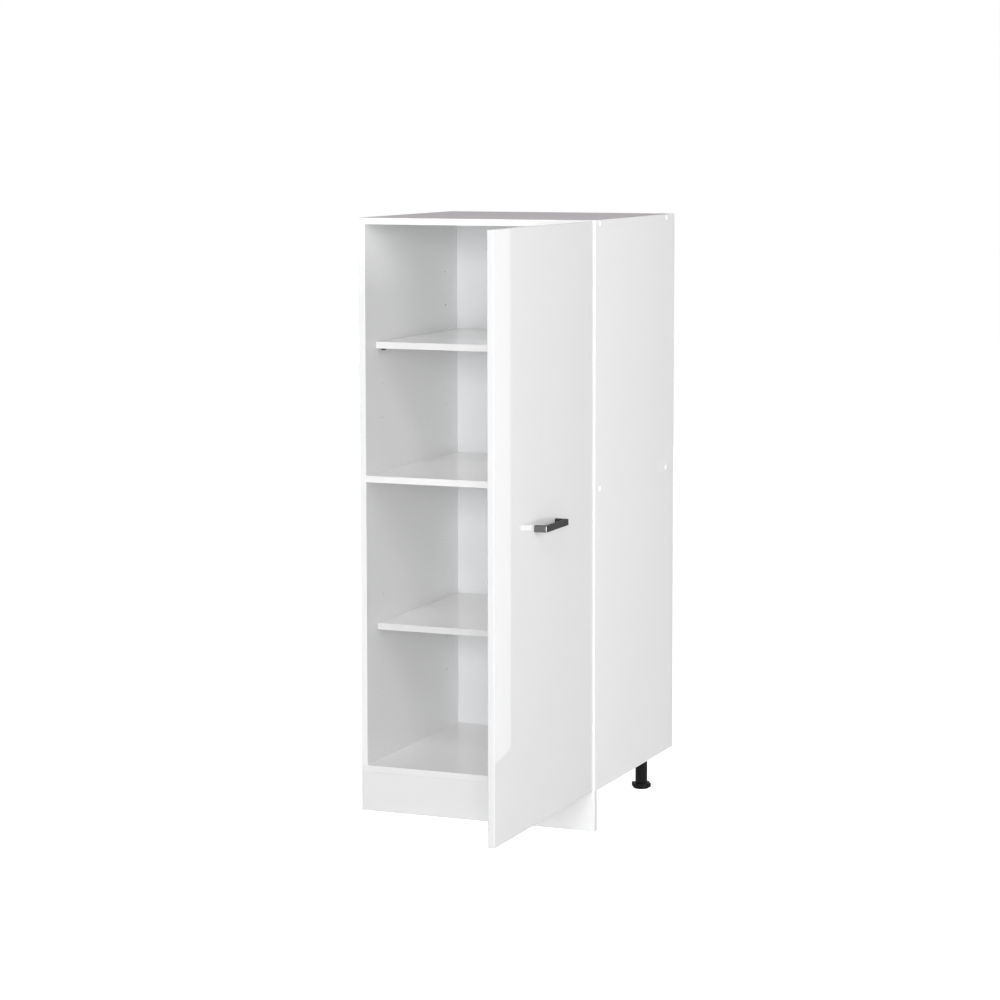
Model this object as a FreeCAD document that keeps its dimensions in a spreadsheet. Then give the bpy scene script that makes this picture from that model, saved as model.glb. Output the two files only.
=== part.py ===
import FreeCAD, Part
import os
import re

import Sketcher

# Half-height kitchen cabinet with one full-height door, shown with the door open at a right angle.
# Millimetres, +Z up, front towards -Y. The origin is on the floor under the middle of the carcass.

SIZES = (
    # Carcass boards
    ("cabinet_width", 600, "outside width of the carcass"),
    ("cabinet_depth", 560, "carcass depth with the back panel"),
    ("cabinet_height", 1430, "floor to top"),
    ("board", 16, "thickness of the faced boards"),
    ("back_board", 3, "thickness of the back panel"),
    ("back_margin", 1, "back panel edge to the outside of the carcass"),
    ("plinth_height", 95, "floor to the underside of the carcass"),
    ("lower_clear", 687, "clear height under the fixed shelf"),
    ("edge_round", 0.8, "rounding of the front edging"),
    # Adjustable shelves and their pins
    ("shelf_setback", 58, "carcass front to shelf front"),
    ("shelf_side_gap", 1, "play at each end of a shelf"),
    ("shelf_back_gap", 3, "shelf to back panel"),
    ("lower_pin_level", 430, "axis of the pins of the lower shelf"),
    ("upper_pin_level", 1112, "axis of the pins of the upper shelf"),
    ("pin_pitch", 83.5, "spacing of the pin holes in a row"),
    ("pin_front_inset", 95, "carcass front to the front row of pin holes"),
    ("pin_rear_inset", 78, "carcass rear to the rear row of pin holes"),
    ("pin_bore", 5.2, "diameter of a pin hole"),
    ("pin_bore_depth", 10, "depth of a pin hole"),
    ("pin_diameter", 5, "peg of a shelf pin"),
    ("pin_length", 9, "length of the peg"),
    ("tongue_height", 6, "height of the tongue that carries the shelf"),
    ("tongue_width", 9, "width of the tongue"),
    ("tongue_reach", 9, "side panel to the end of the tongue"),
    # Connecting screws, caps, dowels and nails
    ("screw_front_inset", 30.5, "carcass front to the front screws"),
    ("screw_rear_inset", 62, "carcass rear to the rear screws"),
    ("screw_length", 50, "connecting screw with its head"),
    ("screw_shank", 7, "shank of a connecting screw"),
    ("screw_head", 10, "head of a connecting screw"),
    ("screw_head_depth", 4, "height of that head"),
    ("screw_socket", 4, "key socket in that head"),
    ("screw_socket_depth", 3, "depth of the socket"),
    ("screw_fit", 0.1, "play of every screw in its hole, on the diameter"),
    ("cap_diameter", 13, "press-on cover cap"),
    ("cap_height", 1.2, "height of the cap over the panel"),
    ("cap_round", 0.7, "rounding of the cap"),
    ("cap_peg", 2.5, "length of the cap's peg"),
    ("dowel_diameter", 8, "wooden dowel"),
    ("dowel_length", 30, "length of a dowel"),
    ("dowel_play", 0.5, "space at each end of a dowel"),
    ("dowel_side_depth", 11, "part of a dowel inside a side panel"),
    ("nail_diameter", 1.6, "back panel nail"),
    ("nail_length", 20, "nail under its head"),
    ("nail_head", 5, "flat nail head"),
    ("nail_head_height", 0.8, "height of the nail head"),
    ("nail_inset", 60, "first and last nail to the end of a side panel"),
    # Plinth brackets
    ("bracket_leg", 32, "leg of the angle bracket"),
    ("bracket_width", 24, "width of the bracket"),
    ("bracket_metal", 2, "thickness of the bracket"),
    ("bracket_bend", 1.5, "inner bend of the bracket"),
    ("bracket_side_inset", 70, "cabinet side to the middle of an outer bracket"),
    ("wood_screw", 3.5, "small screw that holds fittings to the boards"),
    ("wood_screw_grip", 12, "length of a small screw in the board"),
    ("wood_screw_head", 7, "head of a small screw"),
    ("wood_screw_head_height", 1.8, "height of that head"),
    # Rear feet
    ("foot_side_inset", 55, "cabinet side to the foot's axis"),
    ("foot_rear_inset", 80, "carcass rear to the foot's axis"),
    ("socket_plate", 62, "square flange of the foot socket"),
    ("socket_plate_height", 5, "thickness of the flange"),
    ("socket_plate_corner", 8, "corner rounding of the flange"),
    ("socket_screw_spread", 44, "spacing of the flange screws"),
    ("socket_tube", 30, "outside of the socket tube"),
    ("socket_fillet", 6, "rounding between tube and flange"),
    ("stem_diameter", 18, "threaded stem of the adjuster"),
    ("stem_length", 54, "stem above the grip"),
    ("stem_play", 0.35, "radial play of the stem in the tube"),
    ("stem_head_room", 4, "space over the stem"),
    ("grip_core", 38, "body of the lobed grip"),
    ("grip_lobe", 15, "diameter of a lobe"),
    ("grip_reach", 50, "outside over the lobes"),
    ("grip_top", 14, "floor to the top of the grip"),
    ("grip_round", 1.5, "rounding of the grip's rim"),
    ("grip_gap", 0.3, "play between grip, tube and glide"),
    ("glide_diameter", 38, "glide pad on the floor"),
    ("glide_height", 3, "height of the glide pad"),
    ("glide_round", 1, "rounding of the glide"),
    ("spigot_diameter", 10, "spigot of the glide in the grip"),
    ("spigot_length", 6, "length of the spigot"),
    # Door
    ("door_width", 597, "width of the door"),
    ("door_thickness", 16, "thickness of the door"),
    ("door_gap", 2, "door ends to the ends of the carcass"),
    ("door_round", 2, "rounding of the door's edges"),
    ("open_reveal", 4.3, "open door's face behind the cabinet's side"),
    ("open_lead", 4.6, "open door's edge ahead of the carcass front"),
    ("buffer_diameter", 8, "buffer on the door"),
    ("buffer_height", 2, "height of a buffer"),
    ("buffer_edge", 8, "door edge to the buffer's middle, across"),
    ("buffer_end", 40, "door end to the buffer's middle, along"),
    # Handle
    ("handle_length", 138, "outside length of the bow handle"),
    ("handle_centres", 128, "spacing of the handle screws"),
    ("handle_height", 14, "height of the handle's section"),
    ("handle_reach", 30, "door face to the front of the bow"),
    ("handle_bar", 8, "thickness of the bow"),
    ("handle_leg", 12, "width of a leg"),
    ("handle_corner", 5, "outer corner rounding"),
    ("handle_inner", 9, "inner corner rounding"),
    ("handle_soft", 0.9, "rounding of the long edges"),
    ("handle_screw", 4, "handle screw"),
    ("handle_screw_grip", 12, "length of that screw in the handle"),
    ("handle_screw_head", 8.5, "head of that screw"),
    ("handle_screw_head_height", 2.4, "height of that head"),
    # Cup hinges: cup and flange on the door
    ("hinge_inset", 100, "door end to the first hinge"),
    ("cup_diameter", 35, "hinge cup"),
    ("cup_depth", 12, "depth of the cup in the door"),
    ("cup_edge", 3, "door edge to the cup"),
    ("cup_fit", 0.2, "play of the cup in its bore, on the diameter"),
    ("cup_floor", 1, "bottom of the cup"),
    ("cup_long_reach", 15.6, "half length of the narrow hollow"),
    ("cup_long_half", 6, "half width of the narrow hollow"),
    ("cup_wide_reach", 13.5, "half length of the wide hollow"),
    ("cup_wide_half", 8.6, "half width of the wide hollow"),
    ("flange_metal", 1.2, "thickness of the cup flange"),
    ("flange_half", 31, "half height of the flange"),
    ("flange_reach", 19, "cup axis to the far edge of the flange"),
    ("flange_start", 1, "cup axis to the near edge of the flange"),
    ("flange_corner", 5, "corner rounding of the flange"),
    ("flange_screw_half", 24, "half spacing of the flange screws"),
    ("flange_screw_offset", 9.5, "cup axis to the line of flange screws"),
    # Cup hinges: pins and links
    ("hinge_pin", 3, "diameter of the hinge pins"),
    ("hinge_pin_play", 0.15, "radial play of a link on its pin"),
    ("cup_pin_seat", 4, "length of a pin in the cup's cheek"),
    ("outer_root_out", 23.5, "side panel to the arm pin of the outer link"),
    ("outer_root_back", 5.7, "carcass front back to that pin"),
    ("inner_root_out", 12.2, "side panel to the arm pin of the inner link"),
    ("inner_root_ahead", 2.66, "carcass front forward to that pin"),
    ("outer_tip_edge", 10.2, "door edge to the cup pin of the outer link"),
    ("outer_tip_depth", 2.4, "door's inner face to that pin"),
    ("inner_tip_edge", 9.6, "door edge to the cup pin of the inner link"),
    ("inner_tip_depth", 6.9, "door's inner face to that pin"),
    ("inner_eye_out", 12.58, "side panel to the loose eye of the inner link"),
    ("inner_eye_ahead", 2.19, "carcass front forward to that eye"),
    ("inner_eye_play", 1.25, "radial play of the loose eye on its pin"),
    ("link_half", 2.2, "half width of a link"),
    ("link_eye", 2.7, "radius of a link's eye"),
    ("link_thickness", 5, "thickness of a link"),
    ("link_gap", 0.6, "hinge middle to the near face of a link"),
    ("link_bend", 8, "rounding of a link's bend"),
    ("outer_bow", 2.4, "bend of the outer link"),
    ("inner_bow", 4.4, "bend of the inner link"),
    # Cup hinges: arm and mounting plate on the side panel
    ("arm_length", 62, "carcass front to the arm's tail"),
    ("arm_clear", 9, "side panel to the arm's cheeks"),
    ("arm_height", 15, "side panel to the top of the arm's tail"),
    ("arm_knee", 27, "carcass front to the arm's knee"),
    ("arm_nose", 3.2, "metal round the arm pins"),
    ("arm_crown", 4.6, "top of the arm over the pin of the outer link"),
    ("arm_channel_half", 6.6, "half width of the arm's channel"),
    ("arm_metal", 1.4, "thickness of the arm's sheet"),
    ("arm_round", 2, "rounding of the arm's corners"),
    ("plate_start", 22, "carcass front to the plate's rib"),
    ("plate_end", 60, "carcass front to the rib's end"),
    ("plate_fit", 0.2, "play between rib and channel, each side"),
    ("plate_wing_line", 37, "carcass front to the line of plate screws"),
    ("plate_wing_width", 14, "width of the wings"),
    ("plate_wing_half", 26, "half height of the wings"),
    ("plate_wing_metal", 3, "thickness of the wings"),
    ("plate_wing_corner", 5, "corner rounding of the wings"),
    ("plate_screw_half", 16, "half spacing of the plate screws"),
    ("arm_screw", 4, "screws through the arm"),
    ("arm_screw_grip", 8, "length of these screws in the rib"),
    ("arm_screw_head", 7.5, "head of these screws"),
    ("arm_screw_head_height", 2, "height of that head"),
    ("arm_front_screw", 34, "carcass front to the adjusting screw"),
    ("arm_rear_screw", 52, "carcass front to the fixing screw"),
)

# Places worked out from the sizes above.
PLACES = {
    "half_width": "cabinet_width/2",
    "front": "-cabinet_depth/2",
    "rear": "cabinet_depth/2",
    "panel_rear": "rear - back_board",
    "side_inner": "half_width - board",
    "floor_top": "plinth_height + board",
    "fixed_bottom": "floor_top + lower_clear",
    "fixed_level": "fixed_bottom + board/2",
    "top_bottom": "cabinet_height - board",
    "top_level": "cabinet_height - board/2",
    "plinth_rear": "front + board",
    "screw_front": "front + screw_front_inset",
    "screw_rear": "rear - screw_rear_inset",
    "dowel_line": "(screw_front + screw_rear)/2",
    "side_middle": "half_width - board/2",
    "pin_front": "front + pin_front_inset",
    "pin_rear": "rear - pin_rear_inset",
    "shelf_half": "side_inner - shelf_side_gap",
    "nail_span": "cabinet_height - floor_top - 2*nail_inset",
    "bracket_level": "plinth_height - bracket_leg/2 - bracket_metal",
    "bracket_line": "plinth_rear + bracket_leg/2 + bracket_metal",
    "bracket_outer": "half_width - bracket_side_inset",
    "foot_across": "half_width - foot_side_inset",
    "foot_line": "rear - foot_rear_inset",
    "socket_top": "plinth_height - socket_plate_height",
    "door_bottom": "plinth_height + door_gap",
    "door_height": "cabinet_height - plinth_height - 2*door_gap",
    "door_inner": "half_width - open_reveal - door_thickness",
    "door_edge": "front - open_lead",
    "handle_level": "door_bottom + door_height/2",
    "handle_start": "door_width/2 - handle_length/2",
    "handle_end": "door_width/2 + handle_length/2",
    "hinge_low": "door_bottom + hinge_inset",
    "hinge_span": "door_height - 2*hinge_inset",
    "cup_axis": "cup_edge + cup_diameter/2",
    "flange_line": "cup_axis + flange_screw_offset",
    "arm_half": "arm_channel_half + arm_metal",
    "outer_root_x": "side_inner - outer_root_out",
    "outer_root_y": "front + outer_root_back",
    "inner_root_x": "side_inner - inner_root_out",
    "inner_root_y": "front - inner_root_ahead",
    "outer_tip_x": "door_inner + outer_tip_depth",
    "outer_tip_y": "door_edge - outer_tip_edge",
    "inner_tip_x": "door_inner + inner_tip_depth",
    "inner_tip_y": "door_edge - inner_tip_edge",
    "inner_eye_x": "side_inner - inner_eye_out",
    "inner_eye_y": "front - inner_eye_ahead",
    "outer_link_length": "sqrt((outer_tip_x - outer_root_x)^2 + (outer_tip_y - outer_root_y)^2)",
    "inner_link_length": "sqrt((inner_eye_x - inner_tip_x)^2 + (inner_eye_y - inner_tip_y)^2)",
    "rib_height": "arm_height - arm_metal",
    "nose_start": "inner_root_y - 2*arm_nose",
}

HINGES = 3
HINGE_LEVELS = [f"hinge_low + {step}*hinge_span/{HINGES - 1}" for step in range(HINGES)]
NAILS_PER_SIDE = 5
NAIL_LEVELS = [f"floor_top + nail_inset + {step}*nail_span/{NAILS_PER_SIDE - 1}"
               for step in range(NAILS_PER_SIDE)]
NAIL_COLUMNS = ["-cabinet_width/4", "0", "cabinet_width/4"]
PIN_STEPS = (-2, -1, 0, 1, 2)
SCREW_LINES = ("screw_front", "screw_rear")
BRACKETS = ("-bracket_outer", "0", "bracket_outer")
GRIP_LOBES = 6

document = FreeCAD.newDocument("cabinet")
sheet = document.addObject("Spreadsheet::Sheet", "Sizes")
for row, (alias, number, meaning) in enumerate(SIZES, start=1):
    sheet.set(f"A{row}", alias)
    sheet.set(f"B{row}", str(number))
    sheet.set(f"C{row}", meaning)
    sheet.setAlias(f"B{row}", alias)
document.recompute()

ALIASES = {alias for alias, number, meaning in SIZES}
nodes = []


def bound(text):
    """Turn words for sizes and places into an expression on the sheet."""
    def swap(match):
        word = match.group(0)
        if word in PLACES:
            return "(" + bound(PLACES[word]) + ")"
        return "Sizes." + word if word in ALIASES else word
    return re.sub(r"[a-z_]+", swap, text)


def new_body(label, place=None, turn=0, turn_text=None):
    """Start a sub-part; place is its origin as three texts and turn its angle about Z."""
    body = document.addObject("PartDesign::Body", label)
    body.Label = label
    body.AllowCompound = True
    if place:
        body.Placement = FreeCAD.Placement(FreeCAD.Vector(), FreeCAD.Rotation(FreeCAD.Vector(0, 0, 1), turn))
        for axis, text in zip("xyz", place):
            body.setExpression(f"Placement.Base.{axis}", bound(text))
        if turn_text:
            body.setExpression("Placement.Rotation.Angle", bound(turn_text))
    nodes.append(body)
    return body


def door_part(label):
    """A piece of the door: X runs from the hinge edge, Y from the inner to the outer face."""
    return new_body(label, ("door_inner", "door_edge", "0"), turn=-90)


def origin_feature(body, role):
    return next(item for item in body.Origin.OriginFeatures if item.Role == role)


def draw(body, role, offset="0"):
    """Start a sketch on one of the body's own planes, moved along the plane's normal."""
    sketch = body.newObject("Sketcher::SketchObject", "Sketch")
    sketch.AttachmentSupport = [(origin_feature(body, role), "")]
    sketch.MapMode = "FlatFace"
    sketch.setExpression("AttachmentOffset.Base.z", bound(offset))
    return sketch


def bind(sketch, constraint, text):
    index = sketch.addConstraint(constraint)
    sketch.setExpression(f"Constraints[{index}]", bound(text))


def fix_point(sketch, geometry, point, x, y):
    """Set a point of the sketch by its two coordinates."""
    bind(sketch, Sketcher.Constraint("DistanceX", -1, 1, geometry, point, 1.0), x)
    bind(sketch, Sketcher.Constraint("DistanceY", -1, 1, geometry, point, 1.0), y)


def circles(sketch, points, diameter):
    for x, y in points:
        index = sketch.addGeometry(Part.Circle(FreeCAD.Vector(1, 1, 0), FreeCAD.Vector(0, 0, 1), 1))
        bind(sketch, Sketcher.Constraint("Diameter", index, 2.0), diameter)
        fix_point(sketch, index, 3, x, y)
    return sketch


def polygon(sketch, points):
    """Closed outline with straight sides through the points."""
    count = len(points)
    first = sketch.GeometryCount
    start = FreeCAD.Vector(1, 0, 0)
    turn = FreeCAD.Rotation(FreeCAD.Vector(0, 0, 1), 360/count)
    for corner in range(count):
        end = turn.multVec(start)
        sketch.addGeometry(Part.LineSegment(start, end))
        start = end
    for corner in range(count):
        following = first + (corner + 1) % count
        sketch.addConstraint(Sketcher.Constraint("Coincident", first + corner, 2, following, 1))
    for corner, (x, y) in enumerate(points):
        fix_point(sketch, first + corner, 1, x, y)
    return sketch


def rectangle(sketch, left, right, low, high):
    return polygon(sketch, [(left, low), (right, low), (right, high), (left, high)])


def pad(body, sketch, length, reverse=False):
    feature = body.newObject("PartDesign::Pad", "Pad")
    feature.Profile = sketch
    feature.setExpression("Length", bound(length))
    feature.Reversed = reverse
    return feature


def pocket(body, sketch, length, reverse=False):
    feature = body.newObject("PartDesign::Pocket", "Pocket")
    feature.Profile = sketch
    feature.setExpression("Length", bound(length))
    feature.Reversed = reverse
    return feature


def fillet(body, radius, chosen):
    """Round the edges of the body for which chosen(edge box, body box, edge) is true."""
    document.recompute()
    base = body.Tip
    whole = base.Shape.BoundBox
    names = []
    for index, edge in enumerate(base.Shape.Edges, start=1):
        if chosen(edge.BoundBox, whole, edge):
            names.append(f"Edge{index}")
    feature = body.newObject("PartDesign::Fillet", "Fillet")
    feature.Base = (base, names)
    feature.setExpression("Radius", bound(radius))
    return feature


def near(first, second):
    return abs(first - second) < 0.001


def upright(edge, whole, shape):
    """An edge along Z over the full height of the body."""
    return near(edge.XLength, 0) and near(edge.YLength, 0) and near(edge.ZLength, whole.ZLength)


def at_front(edge, whole, shape):
    return near(edge.YMax, whole.YMin)


def along_levels(body):
    """Repeat the body's shape at every hinge level."""
    document.recompute()
    feature = body.newObject("PartDesign::LinearPattern", "Levels")
    feature.TransformMode = "Whole shape"
    feature.Direction = (origin_feature(body, "Z_Axis"), [""])
    feature.setExpression("Length", bound("hinge_span"))
    feature.Occurrences = HINGES
    body.Tip = feature
    return feature


def both_sides(body):
    """Mirror the body's shape from the right to the left half of the cabinet."""
    document.recompute()
    feature = body.newObject("PartDesign::Mirrored", "Sides")
    feature.TransformMode = "Whole shape"
    feature.MirrorPlane = (origin_feature(body, "YZ_Plane"), [""])
    body.Tip = feature
    return feature


# Places of the fasteners, as sketch coordinates on the face that they enter
SIDE_SCREWS = [(line, level) for level in ("fixed_level", "top_level") for line in SCREW_LINES]
SIDE_DOWELS = [("dowel_line", level) for level in ("fixed_level", "top_level")]
FLOOR_SCREWS = [(f"{side}side_middle", line) for side in ("", "-") for line in SCREW_LINES]
FLOOR_DOWELS = [(f"{side}side_middle", "dowel_line") for side in ("", "-")]
SOCKET_SCREWS = [(f"{across}socket_screw_spread/2", f"{along}socket_screw_spread/2")
                 for across in ("", "-") for along in ("", "-")]
FLOOR_FOOT_SCREWS = [(f"{side}foot_across + {x}", f"foot_line + {y}")
                     for side in ("", "-") for x, y in SOCKET_SCREWS]
PLATE_SCREWS = [("front + plate_wing_line", f"{level} {sign} plate_screw_half")
                for level in HINGE_LEVELS for sign in "+-"]
FLANGE_SCREWS = [("flange_line", f"{level} {sign} flange_screw_half")
                 for level in HINGE_LEVELS for sign in "+-"]
HANDLE_SCREWS = [(f"door_width/2 {sign} handle_centres/2", "handle_level") for sign in "+-"]


def nail_holes(body, points):
    """Bores for the back panel nails in the rear edge of a board."""
    bores = circles(draw(body, "XZ_Plane", "-panel_rear"), points, "nail_diameter")
    pocket(body, bores, "nail_length - back_board", reverse=True)


def level_board(label, half, front, rear, bottom):
    """A flat board across the cabinet, with its front edging rounded."""
    body = new_body(label)
    outline = rectangle(draw(body, "XY_Plane", bottom), f"-({half})", half, front, rear)
    pad(body, outline, "board")
    fillet(body, "edge_round", at_front)
    return body


def end_bores(body, level):
    """Bores for the connecting screws and the dowel in both ends of a level board."""
    screws = [(line, level) for line in SCREW_LINES]
    dowels = [("dowel_line", level)]
    for end, reverse in (("side_inner", False), ("-side_inner", True)):
        bores = circles(draw(body, "YZ_Plane", end), screws, "screw_shank + screw_fit")
        pocket(body, bores, "screw_length - board + dowel_play", reverse)
        bores = circles(draw(body, "YZ_Plane", end), dowels, "dowel_diameter + screw_fit")
        pocket(body, bores, "dowel_length - dowel_side_depth + dowel_play", reverse)


def side_panel(label, sign, hinge_side):
    """A side panel with its rows of pin holes and the bores for its fasteners."""
    body = new_body(label)
    inner = f"{sign}side_inner"
    outer = f"{sign}half_width"
    outline = rectangle(draw(body, "XY_Plane", "floor_top"), inner, outer, "front", "panel_rear")
    pad(body, outline, "cabinet_height - floor_top")
    fillet(body, "edge_round", at_front)
    pins = [(line, f"{level} + {step}*pin_pitch") for level in ("lower_pin_level", "upper_pin_level")
            for line in ("pin_front", "pin_rear") for step in PIN_STEPS]
    pocket(body, circles(draw(body, "YZ_Plane", inner), pins, "pin_bore"), "pin_bore_depth", hinge_side)
    bores = circles(draw(body, "YZ_Plane", inner), SIDE_DOWELS, "dowel_diameter + screw_fit")
    pocket(body, bores, "dowel_side_depth + dowel_play", hinge_side)
    bores = circles(draw(body, "YZ_Plane", inner), SIDE_SCREWS, "screw_shank + screw_fit")
    pocket(body, bores, "board", hinge_side)
    heads = circles(draw(body, "YZ_Plane", outer), SIDE_SCREWS, "screw_head + screw_fit")
    pocket(body, heads, "screw_head_depth", not hinge_side)
    middle = f"{sign}side_middle"
    bores = circles(draw(body, "XY_Plane", "floor_top"), [(middle, line) for line in SCREW_LINES],
                    "screw_shank + screw_fit")
    pocket(body, bores, "screw_length - board + dowel_play", reverse=True)
    bores = circles(draw(body, "XY_Plane", "floor_top"), [(middle, "dowel_line")],
                    "dowel_diameter + screw_fit")
    pocket(body, bores, "dowel_length - dowel_side_depth + dowel_play", reverse=True)
    nail_holes(body, [(middle, level) for level in NAIL_LEVELS])
    if hinge_side:
        bores = circles(draw(body, "YZ_Plane", inner), PLATE_SCREWS, "wood_screw + screw_fit")
        pocket(body, bores, "wood_screw_grip", hinge_side)
    return body


def carcass():
    """The boards of the carcass, the shelves, the back panel and the plinth."""
    side_panel("left_side_panel", "-", False)
    side_panel("right_side_panel", "", True)
    top = level_board("top_panel", "side_inner", "front", "panel_rear", "top_bottom")
    end_bores(top, "top_level")
    nail_holes(top, [(column, "top_level") for column in NAIL_COLUMNS])
    fixed = level_board("fixed_shelf", "side_inner", "front", "panel_rear", "fixed_bottom")
    end_bores(fixed, "fixed_level")
    nail_holes(fixed, [(column, "fixed_level") for column in NAIL_COLUMNS])
    floor = level_board("bottom_panel", "half_width", "front", "panel_rear", "plinth_height")
    bores = circles(draw(floor, "XY_Plane", "plinth_height"), FLOOR_SCREWS, "screw_shank + screw_fit")
    pocket(floor, bores, "board", reverse=True)
    heads = circles(draw(floor, "XY_Plane", "plinth_height"), FLOOR_SCREWS, "screw_head + screw_fit")
    pocket(floor, heads, "screw_head_depth", reverse=True)
    bores = circles(draw(floor, "XY_Plane", "floor_top"), FLOOR_DOWELS, "dowel_diameter + screw_fit")
    pocket(floor, bores, "dowel_side_depth + dowel_play")
    fittings = FLOOR_FOOT_SCREWS + [(column, "bracket_line") for column in BRACKETS]
    bores = circles(draw(floor, "XY_Plane", "plinth_height"), fittings, "wood_screw + screw_fit")
    pocket(floor, bores, "wood_screw_grip", reverse=True)
    nail_holes(floor, [(column, "plinth_height + board/2") for column in NAIL_COLUMNS])
    for label, level in (("lower_shelf", "lower_pin_level"), ("upper_shelf", "upper_pin_level")):
        level_board(label, "shelf_half", "front + shelf_setback", "panel_rear - shelf_back_gap",
                    f"{level} + tongue_height/2")
    back = new_body("back_panel")
    outline = rectangle(draw(back, "XZ_Plane", "-panel_rear"), "-(half_width - back_margin)",
                        "half_width - back_margin", "plinth_height + back_margin",
                        "cabinet_height - back_margin")
    pad(back, outline, "back_board", reverse=True)
    pocket(back, circles(draw(back, "XZ_Plane", "-panel_rear"), all_nails(), "nail_diameter"), "back_board")
    plinth = new_body("plinth_board")
    outline = rectangle(draw(plinth, "XY_Plane"), "-half_width", "half_width", "front", "plinth_rear")
    pad(plinth, outline, "plinth_height")
    fillet(plinth, "edge_round", at_front)
    bores = circles(draw(plinth, "XZ_Plane", "-plinth_rear"),
                    [(column, "bracket_level") for column in BRACKETS],
                    "wood_screw + screw_fit")
    pocket(plinth, bores, "wood_screw_grip", reverse=True)


def all_nails():
    """Places of all back panel nails, seen on the rear face."""
    sides = [(f"{sign}side_middle", level) for sign in ("", "-") for level in NAIL_LEVELS]
    levels = ("plinth_height + board/2", "fixed_level", "top_level")
    return sides + [(column, level) for level in levels for column in NAIL_COLUMNS]


def joinery():
    """Connecting screws with caps, dowels and back panel nails."""
    screws = new_body("side_screws")
    pad(screws, circles(draw(screws, "YZ_Plane", "half_width"), SIDE_SCREWS, "screw_head"),
        "screw_head_depth", True)
    pad(screws, circles(draw(screws, "YZ_Plane", "half_width"), SIDE_SCREWS, "screw_shank"),
        "screw_length", True)
    pocket(screws, circles(draw(screws, "YZ_Plane", "half_width"), SIDE_SCREWS, "screw_socket"),
           "screw_socket_depth")
    both_sides(screws)
    caps = new_body("screw_caps")
    pad(caps, circles(draw(caps, "YZ_Plane", "half_width"), SIDE_SCREWS, "cap_diameter"), "cap_height")
    fillet(caps, "cap_round", lambda edge, whole, shape: near(edge.XMin, whole.XMax))
    pad(caps, circles(draw(caps, "YZ_Plane", "half_width"), SIDE_SCREWS, "screw_socket - screw_fit"),
        "cap_peg", True)
    both_sides(caps)
    screws = new_body("floor_screws")
    pad(screws, circles(draw(screws, "XY_Plane", "plinth_height"), FLOOR_SCREWS, "screw_head"),
        "screw_head_depth")
    pad(screws, circles(draw(screws, "XY_Plane", "plinth_height"), FLOOR_SCREWS, "screw_shank"),
        "screw_length")
    pocket(screws, circles(draw(screws, "XY_Plane", "plinth_height"), FLOOR_SCREWS, "screw_socket"),
           "screw_socket_depth", True)
    dowels = new_body("dowels")
    pad(dowels, circles(draw(dowels, "YZ_Plane", "side_inner + dowel_side_depth"), SIDE_DOWELS,
                        "dowel_diameter"),
        "dowel_length", True)
    pad(dowels, circles(draw(dowels, "XY_Plane", "floor_top - dowel_side_depth"), FLOOR_DOWELS[:1],
                        "dowel_diameter"), "dowel_length")
    both_sides(dowels)
    nails = new_body("back_panel_nails")
    pad(nails, circles(draw(nails, "XZ_Plane", "-rear"), all_nails(), "nail_head"), "nail_head_height", True)
    pad(nails, circles(draw(nails, "XZ_Plane", "-rear"), all_nails(), "nail_diameter"), "nail_length")


def shelf_pins(label, level):
    """Four pins with flat tongues that carry one shelf."""
    body = new_body(label)
    lines = ("pin_front", "pin_rear")
    pegs = circles(draw(body, "YZ_Plane", "side_inner"), [(line, level) for line in lines], "pin_diameter")
    pad(body, pegs, "pin_length")
    tongues = draw(body, "YZ_Plane", "side_inner")
    for line in lines:
        rectangle(tongues, f"{line} - tongue_width/2", f"{line} + tongue_width/2",
                  f"{level} - tongue_height/2", f"{level} + tongue_height/2")
    pad(body, tongues, "tongue_reach", True)
    both_sides(body)


def plinth_brackets():
    """Three bent angles that hold the plinth board under the bottom panel, and their screws."""
    body = new_body("plinth_brackets")
    for column in BRACKETS:
        profile = draw(body, "YZ_Plane", f"{column} - bracket_width/2")
        polygon(profile, [
            ("plinth_rear", "plinth_height"),
            ("plinth_rear", "plinth_height - bracket_leg"),
            ("plinth_rear + bracket_metal", "plinth_height - bracket_leg"),
            ("plinth_rear + bracket_metal", "plinth_height - bracket_metal"),
            ("plinth_rear + bracket_leg", "plinth_height - bracket_metal"),
            ("plinth_rear + bracket_leg", "plinth_height"),
        ])
        pad(body, profile, "bracket_width")
    fillet(body, "bracket_bend", in_bend)
    places = [(column, "bracket_line") for column in BRACKETS]
    pocket(body, circles(draw(body, "XY_Plane", "plinth_height"), places, "wood_screw + screw_fit"),
           "bracket_metal")
    places = [(column, "bracket_level") for column in BRACKETS]
    pocket(body, circles(draw(body, "XZ_Plane", "-plinth_rear"), places, "wood_screw + screw_fit"),
           "bracket_metal")
    screws = new_body("plinth_bracket_screws")
    under = "plinth_height - bracket_metal"
    behind = "-(plinth_rear + bracket_metal)"
    for role, face, line, outward in (("XY_Plane", under, "bracket_line", True),
                                      ("XZ_Plane", behind, "bracket_level", True)):
        places = [(column, line) for column in BRACKETS]
        pad(screws, circles(draw(screws, role, face), places, "wood_screw_head"),
            "wood_screw_head_height", outward)
        pad(screws, circles(draw(screws, role, face), places, "wood_screw"),
            "bracket_metal + wood_screw_grip",
            not outward)


def in_bend(edge, whole, shape):
    """The inner edge of a bracket's bend: it runs along X inside the bracket's box."""
    inside = edge.YMin > whole.YMin + 0.001 and edge.YMax < whole.YMax - 0.001
    return near(edge.YLength, 0) and near(edge.ZLength, 0) and inside and edge.ZMin > whole.ZMin + 0.001


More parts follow.
